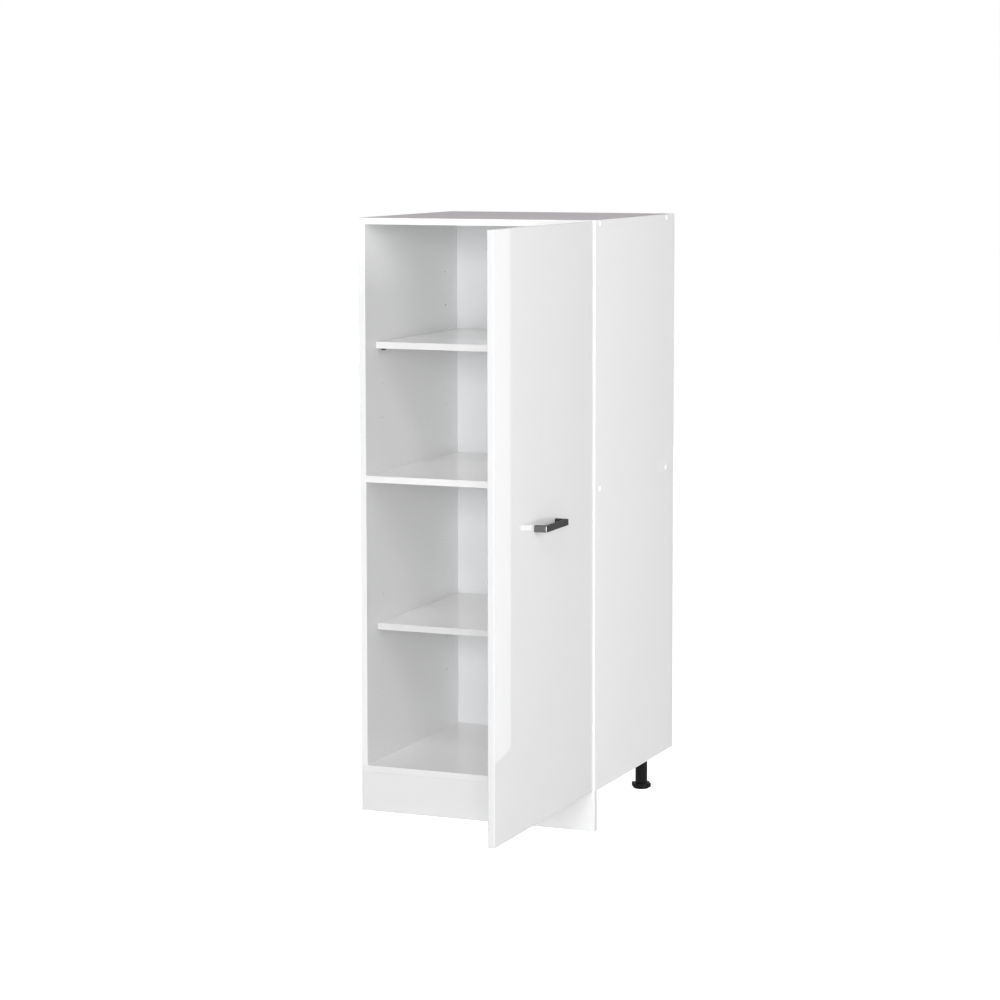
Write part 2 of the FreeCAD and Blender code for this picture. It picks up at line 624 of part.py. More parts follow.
def foot(side, sign):
    """A rear foot on its own axis: socket, adjuster with a lobed grip, and glide pad."""
    place = (f"{sign}foot_across", "foot_line", "0")
    centre = [("0", "0")]
    socket = new_body(f"{side}_foot_socket", place)
    outline = rectangle(draw(socket, "XY_Plane", "socket_top"), "-socket_plate/2", "socket_plate/2",
                        "-socket_plate/2", "socket_plate/2")
    pad(socket, outline, "socket_plate_height")
    fillet(socket, "socket_plate_corner", upright)
    tube = circles(draw(socket, "XY_Plane", "socket_top"), centre, "socket_tube")
    pad(socket, tube, "socket_top - grip_top - grip_gap", True)
    fillet(socket, "socket_fillet", at_tube_root)
    pocket(socket, circles(draw(socket, "XY_Plane"), centre, "stem_diameter + 2*stem_play"),
           "grip_top + stem_length + stem_head_room", True)
    pocket(socket, circles(draw(socket, "XY_Plane", "plinth_height"), SOCKET_SCREWS,
                           "wood_screw + screw_fit"),
           "socket_plate_height")
    grip = new_body(f"{side}_foot_adjuster", place)
    base = "glide_height + grip_gap"
    pad(grip, circles(draw(grip, "XY_Plane", base), centre, "grip_core"), f"grip_top - ({base})")
    lobe = pad(grip, circles(draw(grip, "XY_Plane", base), [("grip_reach/2 - grip_lobe/2", "0")],
                             "grip_lobe"),
               f"grip_top - ({base})")
    document.recompute()
    lobes = grip.newObject("PartDesign::PolarPattern", "Lobes")
    lobes.Originals = [lobe]
    lobes.Axis = (origin_feature(grip, "Z_Axis"), [""])
    lobes.Angle = 360
    lobes.Occurrences = GRIP_LOBES
    grip.Tip = lobes
    fillet(grip, "grip_round",
           lambda edge, whole, shape: near(edge.ZMin, whole.ZMax) or near(edge.ZMax, whole.ZMin))
    pad(grip, circles(draw(grip, "XY_Plane", "grip_top"), centre, "stem_diameter"), "stem_length")
    pocket(grip, circles(draw(grip, "XY_Plane"), centre, "spigot_diameter + 2*stem_play"),
           "glide_height + spigot_length + 2*grip_gap", True)
    glide = new_body(f"{side}_foot_glide", place)
    pad(glide, circles(draw(glide, "XY_Plane"), centre, "glide_diameter"), "glide_height")
    fillet(glide, "glide_round", lambda edge, whole, shape: near(edge.ZMax, whole.ZMin))
    pad(glide, circles(draw(glide, "XY_Plane"), centre, "spigot_diameter"), "glide_height + spigot_length")


def at_tube_root(edge, whole, shape):
    """The circle where the foot's tube meets its flange."""
    return near(edge.ZLength, 0) and near(edge.XLength, edge.YLength) and whole.ZMin < edge.ZMin - 1 \
        and edge.ZMax < whole.ZMax - 0.001 and len(shape.Vertexes) == 1


def foot_screws():
    """Screws of both foot sockets."""
    body = new_body("foot_socket_screws")
    pad(body, circles(draw(body, "XY_Plane", "socket_top"), FLOOR_FOOT_SCREWS, "wood_screw_head"),
        "wood_screw_head_height", True)
    pad(body, circles(draw(body, "XY_Plane", "socket_top"), FLOOR_FOOT_SCREWS, "wood_screw"),
        "socket_plate_height + wood_screw_grip")


def door():
    """Door panel with its bores, and the buffers at its free edge."""
    panel = door_part("door_panel")
    outline = rectangle(draw(panel, "XY_Plane", "door_bottom"), "0", "door_width", "0", "door_thickness")
    pad(panel, outline, "door_height")
    fillet(panel, "door_round", lambda edge, whole, shape: True)
    cups = [("cup_axis", level) for level in HINGE_LEVELS]
    pocket(panel, circles(draw(panel, "XZ_Plane"), cups, "cup_diameter + cup_fit"), "cup_depth")
    pocket(panel, circles(draw(panel, "XZ_Plane"), FLANGE_SCREWS, "wood_screw + screw_fit"),
           "wood_screw_grip")
    pocket(panel, circles(draw(panel, "XZ_Plane"), HANDLE_SCREWS, "handle_screw + screw_fit"),
           "door_thickness")
    buffers = door_part("door_buffers")
    across = "door_width - buffer_edge"
    places = [(across, "door_bottom + buffer_end"), (across, "door_bottom + door_height - buffer_end")]
    pad(buffers, circles(draw(buffers, "XZ_Plane"), places, "buffer_diameter"), "buffer_height")


def handle():
    """Bow handle across the middle of the door, and the screws through the door."""
    body = door_part("handle")
    face = "door_thickness"
    under_bar = "door_thickness + handle_reach - handle_bar"
    front = "door_thickness + handle_reach"
    outline = polygon(draw(body, "XY_Plane", "handle_level - handle_height/2"), [
        ("handle_start", face),
        ("handle_start + handle_leg", face),
        ("handle_start + handle_leg", under_bar),
        ("handle_end - handle_leg", under_bar),
        ("handle_end - handle_leg", face),
        ("handle_end", face),
        ("handle_end", front),
        ("handle_start", front),
    ])
    pad(body, outline, "handle_height")
    fillet(body, "handle_corner", lambda edge, whole, shape: upright(edge, whole, shape)
           and near(edge.YMin, whole.YMax))
    fillet(body, "handle_inner", lambda edge, whole, shape: upright(edge, whole, shape)
           and inner_corner(edge, whole))
    fillet(body, "handle_soft", lambda edge, whole, shape: near(edge.ZLength, 0)
           and not near(edge.YMax, whole.YMin))
    pocket(body, circles(draw(body, "XZ_Plane", "-door_thickness"), HANDLE_SCREWS,
                         "handle_screw + screw_fit"),
           "handle_screw_grip")
    screws = door_part("handle_screws")
    pad(screws, circles(draw(screws, "XZ_Plane"), HANDLE_SCREWS, "handle_screw_head"),
        "handle_screw_head_height")
    pad(screws, circles(draw(screws, "XZ_Plane"), HANDLE_SCREWS, "handle_screw"),
        "door_thickness + handle_screw_grip", True)


def inner_corner(edge, whole):
    """The corner between a leg and the bow: inside the handle's box, off its foot and its front."""
    middle = edge.Center
    inside = whole.XMin + 1 < middle.x < whole.XMax - 1
    return inside and whole.YMin + 1 < middle.y < whole.YMax - 1


def hinge_cups():
    """Cups pressed into the door, with their flanges, pins and screws."""
    cup = door_part("hinge_cups")
    level = "hinge_low"
    pad(cup, circles(draw(cup, "XZ_Plane"), [("cup_axis", level)], "cup_diameter"), "cup_depth", True)
    flange = rectangle(draw(cup, "XZ_Plane"), "cup_axis - flange_start", "cup_axis + flange_reach",
                       f"{level} - flange_half", f"{level} + flange_half")
    pad(cup, flange, "flange_metal")
    fillet(cup, "flange_corner", flange_corner)
    for reach, half in (("cup_long_reach", "cup_long_half"), ("cup_wide_reach", "cup_wide_half")):
        hollow = rectangle(draw(cup, "XZ_Plane", "flange_metal"),
                           f"cup_axis - {reach}", f"cup_axis + {reach}",
                           f"{level} - {half}", f"{level} + {half}")
        pocket(cup, hollow, "flange_metal + cup_depth - cup_floor")
    pocket(cup, circles(draw(cup, "XZ_Plane", "flange_metal"), FLANGE_SCREWS[:2], "wood_screw + screw_fit"),
           "flange_metal")
    outer = [("outer_tip_edge", "outer_tip_depth")]
    inner = [("inner_tip_edge", "inner_tip_depth")]
    pocket(cup, circles(draw(cup, "XY_Plane", f"{level} + cup_wide_half"), outer, "hinge_pin"),
           "cup_pin_seat", True)
    pocket(cup, circles(draw(cup, "XY_Plane", f"{level} - cup_wide_half"), inner, "hinge_pin"),
           "cup_pin_seat")
    along_levels(cup)
    pins = door_part("hinge_cup_pins")
    length = "cup_wide_half + cup_pin_seat - link_gap"
    pad(pins, circles(draw(pins, "XY_Plane", f"{level} + link_gap"), outer, "hinge_pin"), length)
    pad(pins, circles(draw(pins, "XY_Plane", f"{level} - link_gap"), inner, "hinge_pin"), length, True)
    along_levels(pins)
    screws = door_part("hinge_cup_screws")
    pad(screws, circles(draw(screws, "XZ_Plane", "flange_metal"), FLANGE_SCREWS, "wood_screw_head"),
        "wood_screw_head_height")
    pad(screws, circles(draw(screws, "XZ_Plane", "flange_metal"), FLANGE_SCREWS, "wood_screw"),
        "flange_metal + wood_screw_grip", True)


def flange_corner(edge, whole, shape):
    """The corners of the cup's flange."""
    along = near(edge.XLength, 0) and near(edge.ZLength, 0)
    return along and (near(edge.ZMin, whole.ZMin) or near(edge.ZMax, whole.ZMax))


def hinge_links():
    """The two links of each hinge, each drawn along its own length with a bend at half way."""
    links = (
        ("hinge_outer_links", "outer_root", "outer_tip", "outer_link_length", "-outer_bow",
         "link_gap", False),
        ("hinge_inner_links", "inner_tip", "inner_eye", "inner_link_length", "inner_bow", "-link_gap", True),
    )
    for label, root, tip, length, bow, face, below in links:
        angle = f"atan2({tip}_y - ({root}_y); {tip}_x - ({root}_x))"
        body = new_body(label, (f"{root}_x", f"{root}_y", f"hinge_low + {face}"), turn=10, turn_text=angle)
        bar = polygon(draw(body, "XY_Plane"), [
            ("0", "-link_half"),
            (f"{length}/4", f"{bow}*0.75 - link_half"),
            (f"{length}/2", f"{bow} - link_half"),
            (f"{length}*0.75", f"{bow}*0.75 - link_half"),
            (length, "-link_half"),
            (length, "link_half"),
            (f"{length}*0.75", f"{bow}*0.75 + link_half"),
            (f"{length}/2", f"{bow} + link_half"),
            (f"{length}/4", f"{bow}*0.75 + link_half"),
            ("0", "link_half"),
        ])
        pad(body, bar, "link_thickness", below)
        fillet(body, "link_bend", in_link_bend)
        near_eye = "link_eye"
        far_eye = "link_eye + inner_eye_play" if below else "link_eye"
        pad(body, circles(draw(body, "XY_Plane"), [("0", "0")], f"2*({near_eye})"), "link_thickness", below)
        pad(body, circles(draw(body, "XY_Plane"), [(length, "0")], f"2*({far_eye})"), "link_thickness", below)
        bore = "hinge_pin + 2*hinge_pin_play"
        loose = "hinge_pin + 2*inner_eye_play" if below else bore
        pocket(body, circles(draw(body, "XY_Plane"), [("0", "0")], bore), "link_thickness", not below)
        pocket(body, circles(draw(body, "XY_Plane"), [(length, "0")], loose), "link_thickness", not below)
        along_levels(body)


def in_link_bend(edge, whole, shape):
    """The upright edges at the bend, half way along a link."""
    return upright(edge, whole, shape) and whole.XMin + 1 < edge.XMin and edge.XMax < whole.XMax - 1


def hinge_arms():
    """Channel arms on their mounting plates, with pins and screws, on the right side panel."""
    level = "hinge_low"
    nose_front = "inner_root_y - arm_nose"
    arm = new_body("hinge_arms")
    outline = polygon(draw(arm, "XY_Plane", f"{level} - arm_half"), [
        ("side_inner - arm_clear", "front + arm_length"),
        ("side_inner - arm_height", "front + arm_length"),
        ("side_inner - arm_height", "front + arm_knee"),
        ("outer_root_x - arm_crown", "outer_root_y + arm_nose"),
        ("outer_root_x - arm_crown", "outer_root_y - arm_nose"),
        ("outer_root_x + arm_nose", "outer_root_y - arm_nose"),
        ("inner_root_x - arm_nose/2", nose_front),
        ("inner_root_x + arm_nose", nose_front),
        ("side_inner - arm_clear", "outer_root_y + arm_nose"),
    ])
    pad(arm, outline, "2*arm_half")
    fillet(arm, "arm_round", upright)
    channel = polygon(draw(arm, "XY_Plane", f"{level} - arm_channel_half"), [
        ("side_inner", "front + arm_length + board"),
        ("side_inner - arm_height + arm_metal", "front + arm_length + board"),
        ("side_inner - arm_height + arm_metal", "front + arm_knee"),
        ("outer_root_x - arm_crown + arm_metal", "outer_root_y + arm_nose"),
        ("outer_root_x - arm_crown + arm_metal", "nose_start"),
        ("side_inner", "nose_start"),
    ])
    pocket(arm, channel, "2*arm_channel_half", True)
    outer = [("outer_root_x", "outer_root_y")]
    inner = [("inner_root_x", "inner_root_y")]
    pocket(arm, circles(draw(arm, "XY_Plane", f"{level} - arm_half"), outer, "hinge_pin"), "2*arm_half", True)
    pocket(arm, circles(draw(arm, "XY_Plane", f"{level} - arm_half"), inner, "hinge_pin"), "arm_metal", True)
    arm_screws = [("front + arm_front_screw", level), ("front + arm_rear_screw", level)]
    top = "side_inner - arm_height"
    pocket(arm, circles(draw(arm, "YZ_Plane", top), arm_screws, "arm_screw + screw_fit"), "arm_metal", True)
    along_levels(arm)
    pins = new_body("hinge_arm_pins")
    pad(pins, circles(draw(pins, "XY_Plane", f"{level} - arm_half"), outer, "hinge_pin"), "2*arm_half")
    pad(pins, circles(draw(pins, "XY_Plane", f"{level} - arm_half"), inner, "hinge_pin"),
        "arm_half - link_gap")
    along_levels(pins)
    plate = new_body("hinge_mounting_plates")
    rib = rectangle(draw(plate, "YZ_Plane", "side_inner"), "front + plate_start", "front + plate_end",
                    f"{level} - arm_channel_half + plate_fit", f"{level} + arm_channel_half - plate_fit")
    pad(plate, rib, "rib_height", True)
    wings = rectangle(draw(plate, "YZ_Plane", "side_inner"), "front + plate_wing_line - plate_wing_width/2",
                      "front + plate_wing_line + plate_wing_width/2", f"{level} - plate_wing_half",
                      f"{level} + plate_wing_half")
    pad(plate, wings, "plate_wing_metal", True)
    fillet(plate, "plate_wing_corner", wing_corner)
    pocket(plate, circles(draw(plate, "YZ_Plane", "side_inner"), PLATE_SCREWS[:2], "wood_screw + screw_fit"),
           "plate_wing_metal", False)
    pocket(plate, circles(draw(plate, "YZ_Plane", "side_inner - rib_height"), arm_screws, "arm_screw"),
           "arm_screw_grip", True)
    along_levels(plate)
    screws = new_body("hinge_plate_screws")
    wing_face = "side_inner - plate_wing_metal"
    pad(screws, circles(draw(screws, "YZ_Plane", wing_face), PLATE_SCREWS, "wood_screw_head"),
        "wood_screw_head_height", True)
    pad(screws, circles(draw(screws, "YZ_Plane", wing_face), PLATE_SCREWS, "wood_screw"),
        "plate_wing_metal + wood_screw_grip")
    screws = new_body("hinge_arm_screws")
    pad(screws, circles(draw(screws, "YZ_Plane", top), arm_screws, "arm_screw_head"),
        "arm_screw_head_height", True)
    pad(screws, circles(draw(screws, "YZ_Plane", top), arm_screws, "arm_screw"), "arm_metal + arm_screw_grip")
    along_levels(screws)


def wing_corner(edge, whole, shape):
    """The four outer corners of a mounting plate's wings."""
    along = near(edge.YLength, 0) and near(edge.ZLength, 0)
    return along and (near(edge.ZMin, whole.ZMin) or near(edge.ZMax, whole.ZMax))


carcass()
joinery()
shelf_pins("lower_shelf_pins", "lower_pin_level")
shelf_pins("upper_shelf_pins", "upper_pin_level")
plinth_brackets()
foot("left", "-")
foot("right", "")
foot_screws()
door()
handle()
hinge_cups()
hinge_links()
hinge_arms()
document.recompute()

faults = [item.Label for item in document.Objects if {"Invalid", "Error"} & set(item.State)]
faults += [body.Label for body in nodes if body.Shape.isNull() or not body.Shape.isValid()]
if faults:
    raise RuntimeError("failed objects: " + ", ".join(faults))
os.makedirs("parts", exist_ok=True)
for body in nodes:
    body.Shape.exportStep(f"parts/{body.Label}.step")
    print(body.Label, len(body.Shape.Solids), round(body.Shape.Volume, 1))
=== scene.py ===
"""Dresses a half-height white kitchen cabinet: finishes, fine hardware, studio and camera.

Lengths are in metres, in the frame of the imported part: X to the right, Y to the rear, Z up.
"""

from __future__ import annotations

import logging
import math
from dataclasses import dataclass, replace
from enum import Enum
from typing import Dict, List, Sequence, Tuple

import bmesh
import bpy
from mathutils import Matrix, Vector

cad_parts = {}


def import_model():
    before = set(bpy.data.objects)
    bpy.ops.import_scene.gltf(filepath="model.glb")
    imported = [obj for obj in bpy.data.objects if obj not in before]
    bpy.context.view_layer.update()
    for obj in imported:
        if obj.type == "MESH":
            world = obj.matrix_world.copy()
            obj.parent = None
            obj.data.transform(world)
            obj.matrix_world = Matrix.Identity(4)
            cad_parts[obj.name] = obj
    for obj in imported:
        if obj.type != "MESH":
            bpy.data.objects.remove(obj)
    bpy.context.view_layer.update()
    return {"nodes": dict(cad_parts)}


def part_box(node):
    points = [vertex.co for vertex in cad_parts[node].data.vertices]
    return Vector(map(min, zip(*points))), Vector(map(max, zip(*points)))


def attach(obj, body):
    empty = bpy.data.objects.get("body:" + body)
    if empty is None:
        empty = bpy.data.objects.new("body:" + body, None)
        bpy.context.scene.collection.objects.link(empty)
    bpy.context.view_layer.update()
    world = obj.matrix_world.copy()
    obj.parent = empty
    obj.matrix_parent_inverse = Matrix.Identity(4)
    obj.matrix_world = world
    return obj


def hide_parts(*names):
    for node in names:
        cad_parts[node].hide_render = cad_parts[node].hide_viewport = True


LOG = logging.getLogger("cabinet")

MM = 0.001
Colour = Tuple[float, float, float, float]
Triple = Tuple[float, float, float]
Socket = bpy.types.NodeSocket

NOISE_LOW = 0.3
NOISE_HIGH = 0.7
FULL_TURN = 2 * math.pi
# A place that no piece reaches, for marks that a board doesn't have.
NOWHERE = 10.0


class Axis(Enum):
    """A direction of the shared frame that screw heads face."""

    LEFT = (-1.0, 0.0, 0.0)
    REAR = (0.0, 1.0, 0.0)
    DOWN = (0.0, 0.0, -1.0)

    @property
    def vector(self) -> Vector:
        """The direction as a vector."""
        return Vector(self.value)


def tone(red: float, green: float, blue: float) -> Colour:
    """A linear colour with full cover."""
    return (red, green, blue, 1.0)


class Wiring:
    """A material's nodes, with short calls for what the finishes share."""

    def __init__(self, name: str) -> None:
        """Starts a material with one principled shader.

        Args:
            name: the material's name.
        """
        self.material = bpy.data.materials.new(name)
        self.material.use_nodes = True
        self.tree = self.material.node_tree
        self.shader = self.tree.nodes["Principled BSDF"]
        self.place = self.add("ShaderNodeTexCoord").outputs["Object"]

    def add(self, kind: str) -> bpy.types.Node:
        """Adds a node of that kind."""
        return self.tree.nodes.new(kind)

    def link(self, source: Socket, target: Socket) -> None:
        """Joins two sockets."""
        self.tree.links.new(source, target)

    def constant(self, **values: object) -> None:
        """Sets values on the shader's own sockets, spaces written as underscores."""
        for label, value in values.items():
            self.shader.inputs[label.replace("_", " ")].default_value = value

    def grain(self, scale: float, detail: float = 2.0, stretch: Triple = (1.0, 1.0, 1.0)) -> Socket:
        """Noise on the piece's own coordinates.

        Args:
            scale: grains per metre.
            detail: layers of finer noise.
            stretch: how much each axis is squeezed, to draw the grain out along another.

        Returns:
            The noise, from 0 to 1.
        """
        mapping = self.add("ShaderNodeMapping")
        mapping.inputs["Scale"].default_value = stretch
        self.link(self.place, mapping.inputs["Vector"])
        noise = self.add("ShaderNodeTexNoise")
        noise.inputs["Scale"].default_value = scale
        noise.inputs["Detail"].default_value = detail
        self.link(mapping.outputs["Vector"], noise.inputs["Vector"])
        return noise.outputs["Fac"]

    def spread(self, source: Socket, low: float, high: float) -> Socket:
        """Maps the middle of a noise on to a range.

        Args:
            source: a value around one half.
            low: what a low noise becomes.
            high: what a high noise becomes.

        Returns:
            The mapped value.
        """
        remap = self.add("ShaderNodeMapRange")
        remap.inputs["From Min"].default_value = NOISE_LOW
        remap.inputs["From Max"].default_value = NOISE_HIGH
        remap.inputs["To Min"].default_value = low
        remap.inputs["To Max"].default_value = high
        self.link(source, remap.inputs["Value"])
        return remap.outputs["Result"]

    def between(self, share: Socket, first: Colour | Socket, second: Colour | Socket) -> Socket:
        """Mixes two colours.

        Args:
            share: how much of the second shows.
            first: a colour, or a socket that gives one.
            second: a colour, or a socket that gives one.

        Returns:
            The mixed colour.
        """
        mix = self.add("ShaderNodeMix")
        mix.data_type = "RGBA"
        self.link(share, mix.inputs["Factor"])
        for slot, value in (("A", first), ("B", second)):
            target = next(s for s in mix.inputs if s.name == slot and s.type == "RGBA")
            if isinstance(value, tuple):
                target.default_value = value
            else:
                self.link(value, target)
        return next(s for s in mix.outputs if s.type == "RGBA")

    def along(self, axis: str) -> Socket:
        """Takes one coordinate of the piece.

        Args:
            axis: X, Y or Z.

        Returns:
            The coordinate, in metres.
        """
        split = self.add("ShaderNodeSeparateXYZ")
        self.link(self.place, split.inputs["Vector"])
        return split.outputs[axis]

    def near(self, source: Socket, value: float, reach: float) -> Socket:
        """Marks where a coordinate lies close to a value.

        Args:
            source: the coordinate.
            value: what it is compared with.
            reach: how far off still counts.

        Returns:
            1 within the reach, and 0 elsewhere.
        """
        compare = self.add("ShaderNodeMath")
        compare.operation = "COMPARE"
        compare.inputs[1].default_value = value
        compare.inputs[2].default_value = reach
        self.link(source, compare.inputs[0])
        return compare.outputs["Value"]

    def choose(self, share: Socket, first: Socket, second: float) -> Socket:
        """Mixes a value and a number.

        Args:
            share: how much of the number shows.
            first: the value.
            second: the number.

        Returns:
            The mixed value.
        """
        mix = self.add("ShaderNodeMix")
        self.link(share, mix.inputs["Factor"])
        self.link(first, mix.inputs["A"])
        mix.inputs["B"].default_value = second
        return mix.outputs["Result"]

    def sum(self, kind: str, first: Socket, second: Socket | float) -> Socket:
        """Does one step of arithmetic.

        Args:
            kind: the step, in the words of the math node.
            first: the value that it starts from.
            second: another value, or a number.

        Returns:
            The result.
        """
        step = self.add("ShaderNodeMath")
        step.operation = kind
        self.link(first, step.inputs[0])
        if isinstance(second, (int, float)):
            step.inputs[1].default_value = second
        else:
            self.link(second, step.inputs[1])
        return step.outputs["Value"]

    def relief(self, source: Socket, depth: float, strength: float) -> None:
        """Raises the surface by a value, on top of any relief that it already has.

        Args:
            source: the height, from 0 to 1.
            depth: what a height of 1 stands for.
            strength: how much of it shows.
        """
        bump = self.add("ShaderNodeBump")
        bump.inputs["Distance"].default_value = depth
        bump.inputs["Strength"].default_value = strength
        self.link(source, bump.inputs["Height"])
        normal = self.shader.inputs["Normal"]
        for earlier in normal.links:
            self.link(earlier.from_socket, bump.inputs["Normal"])
        self.link(bump.outputs["Normal"], normal)


@dataclass(frozen=True)
class Finish:
    """What all finishes have: a name, a colour and how rough they are."""

    name: str
    colour: Colour
    roughness: float

    def make(self) -> bpy.types.Material:
        """Makes the finish.

        Returns:
            The new material.
        """
        wiring = Wiring(self.name)
        self.wire(wiring)
        return wiring.material

    def wire(self, wiring: Wiring) -> None:
        """Wires the finish's nodes, which each finish does in its own way."""
        raise NotImplementedError

    def darker(self, share: float) -> Colour:
        """The colour with a share of it taken away."""
        red, green, blue, cover = self.colour
        return (red * (1 - share), green * (1 - share), blue * (1 - share), cover)


@dataclass(frozen=True)
class FacedBoard(Finish):
    """White melamine on chipboard, with a thin glued edging along the front.

    Attributes:
        front: Y of the front edge.
        edging: how thick the edging is.
        edging_and_shade_loss: how much darker than the facing it is, partly the tape's own tone and partly
            painted shade on the front edge.
        joint: half the width of the glue line, and how close to a face counts as on it.
        joint_loss: how much darker the glue line is.
        pearl: grains per metre of the pressed texture.
        cloud: grains per metre of the unevenness in the white.
        sheen: grains per metre of the unevenness in the roughness.
        upper_side: Z of the cabinet's top, whose faces get painted shade, a darker mauve grey, and a
            rougher finish.
        shaded_right_end: X of an end face that gets painted shade, the darker tone of the right side
            panel.
        gloss: how strongly the facing mirrors.
    """

    front: float = NOWHERE
    edging: float = 0.8 * MM
    # Painted shade, partly the tape's own tone: the edging is drawn darker than the facing.
    edging_and_shade_loss: float = 0.06
    joint: float = 0.12 * MM
    joint_loss: float = 0.25
    pearl: float = 700.0
    pearl_depth: float = 0.01 * MM
    pearl_share: float = 0.03
    cloud: float = 2.5
    cloud_loss: float = 0.015
    sheen: float = 6.0
    sheen_spread: float = 0.015
    # Painted shade: faces at the cabinet's top are drawn in a darker mauve grey.
    upper_side: float = NOWHERE
    top_shade_tone: Colour = tone(0.8, 0.755, 0.79)
    upper_roughness: float = 0.75
    # Painted shade: an end face at the right takes the right side panel's darker tone.
    shaded_right_end: float = NOWHERE
    end_shade_tone: Colour = tone(0.865, 0.865, 0.865)
    gloss: float = 0.5

    def wire(self, wiring: Wiring) -> None:
        """Wires a faintly clouded white, its edging and joint, a duller top, painted shade on the edging,
        the top and the right end, and a pearl texture.

        Args:
            wiring: the nodes of the material that is made.
        """
        clouded = wiring.between(wiring.grain(self.cloud), self.colour, self.darker(self.cloud_loss))
        inward = wiring.along("Y")
        # Painted shade, partly the tape's own tone, on the front edging.
        tape = wiring.near(inward, self.front, self.edging)
        taped = wiring.between(tape, clouded, self.darker(self.edging_and_shade_loss))
        line = wiring.near(inward, self.front + self.edging, self.joint)
        edged = wiring.between(line, taped, self.darker(self.joint_loss))
        # Painted shade: the faces at the cabinet's top are darkened to a mauve grey.
        top = wiring.near(wiring.along("Z"), self.upper_side, self.joint)
        topped = wiring.between(top, edged, self.top_shade_tone)
        # Painted shade: the right end face takes the darker tone of the right side panel.
        end = wiring.near(wiring.along("X"), self.shaded_right_end, self.joint)
        wiring.link(wiring.between(end, topped, self.end_shade_tone), wiring.shader.inputs["Base Color"])
        low, high = self.roughness - self.sheen_spread, self.roughness + self.sheen_spread
        rough = wiring.spread(wiring.grain(self.sheen), low, high)
        wiring.link(wiring.choose(top, rough, self.upper_roughness), wiring.shader.inputs["Roughness"])
        wiring.constant(Specular_IOR_Level=self.gloss)
        wiring.relief(wiring.grain(self.pearl), self.pearl_depth, self.pearl_share)


@dataclass(frozen=True)
class GlossFront(Finish):
    """White gloss lacquer over a smooth board, with a satin facing on the inner side.

    Attributes:
        peel: grains per metre of the lacquer's faint waves.
        index: the lacquer's index of refraction.
        inner_side: X of the satin inner face.
        skin: how close to that face counts as on it.
        free_edge: Y of the edge away from the hinges.
        tape: how thick the edging on that edge is.
        tape_and_shade_loss: how much darker than the front it is, partly the edging's own tone and partly
            painted shade.
    """

    peel: float = 160.0
    peel_depth: float = 0.01 * MM
    peel_share: float = 0.01
    cloud: float = 1.6
    cloud_loss: float = 0.008
    sheen: float = 8.0
    sheen_spread: float = 0.004
    index: float = 1.5
    inner_side: float = NOWHERE
    inner_roughness: float = 0.3
    skin: float = 0.1 * MM
    free_edge: float = NOWHERE
    tape: float = 1.2 * MM
    # Painted shade, partly the edging's own tone: the free edge is drawn darker.
    tape_and_shade_loss: float = 0.14

    def wire(self, wiring: Wiring) -> None:
        """Wires an even white under a clear, almost flat gloss, with a duller edging on the free edge,
        partly its own tone and partly painted shade.

        Args:
            wiring: the nodes of the material that is made.
        """
        clouded = wiring.between(wiring.grain(self.cloud), self.colour, self.darker(self.cloud_loss))
        # Painted shade, partly the edging's own tone, on the free edge.
        tape = wiring.near(wiring.along("Y"), self.free_edge, self.tape)
        taped = wiring.between(tape, clouded, self.darker(self.tape_and_shade_loss))
        wiring.link(taped, wiring.shader.inputs["Base Color"])
        inner = wiring.near(wiring.along("X"), self.inner_side, self.skin)
        gloss = wiring.spread(wiring.grain(self.sheen), self.roughness, self.roughness + self.sheen_spread)
        wiring.link(wiring.choose(inner, gloss, self.inner_roughness), wiring.shader.inputs["Roughness"])
        wiring.constant(IOR=self.index)
        wiring.relief(wiring.grain(self.peel), self.peel_depth, self.peel_share)


@dataclass(frozen=True)
class BackBoard(Finish):
    """Thin white-faced fibreboard."""

    weave: float = 900.0
    weave_detail: float = 4.0
    weave_depth: float = 0.02 * MM
    weave_share: float = 0.3
    cloud: float = 3.0
    cloud_loss: float = 0.02
    sheen: float = 30.0
    sheen_spread: float = 0.05

    def wire(self, wiring: Wiring) -> None:
        """Wires a cool white with a faint fibre texture.

        Args:
            wiring: the nodes of the material that is made.
        """
        clouded = wiring.between(wiring.grain(self.cloud), self.colour, self.darker(self.cloud_loss))
        wiring.link(clouded, wiring.shader.inputs["Base Color"])
        low, high = self.roughness - self.sheen_spread, self.roughness + self.sheen_spread
        rough = wiring.spread(wiring.grain(self.sheen), low, high)
        wiring.link(rough, wiring.shader.inputs["Roughness"])
        wiring.relief(wiring.grain(self.weave, self.weave_detail), self.weave_depth, self.weave_share)


@dataclass(frozen=True)
class PlatedSteel(Finish):
    """Pressed or turned steel with a bright plating.

    Attributes:
        lay: how much the drawn lines are squeezed along each axis.
        lines: lines per metre before that.
        smoother: how far the roughness goes down.
        rougher: how far it goes up.
    """

    lay: Triple = (1.0, 1.0, 30.0)
    lines: float = 300.0
    line_detail: float = 2.0
    line_depth: float = 0.01 * MM
    line_share: float = 0.15
    smoother: float = 0.06
    rougher: float = 0.1
    cloud: float = 60.0
    cloud_loss: float = 0.18

    def wire(self, wiring: Wiring) -> None:
        """Wires a metal with fine drawn lines and a little cloudiness.

        Args:
            wiring: the nodes of the material that is made.
        """
        clouded = wiring.between(wiring.grain(self.cloud), self.colour, self.darker(self.cloud_loss))
        wiring.link(clouded, wiring.shader.inputs["Base Color"])
        wiring.constant(Metallic=1.0)
        drawn = wiring.grain(self.lines, self.line_detail, self.lay)
        rough = wiring.spread(drawn, self.roughness - self.smoother, self.roughness + self.rougher)
        wiring.link(rough, wiring.shader.inputs["Roughness"])
        wiring.relief(drawn, self.line_depth, self.line_share)


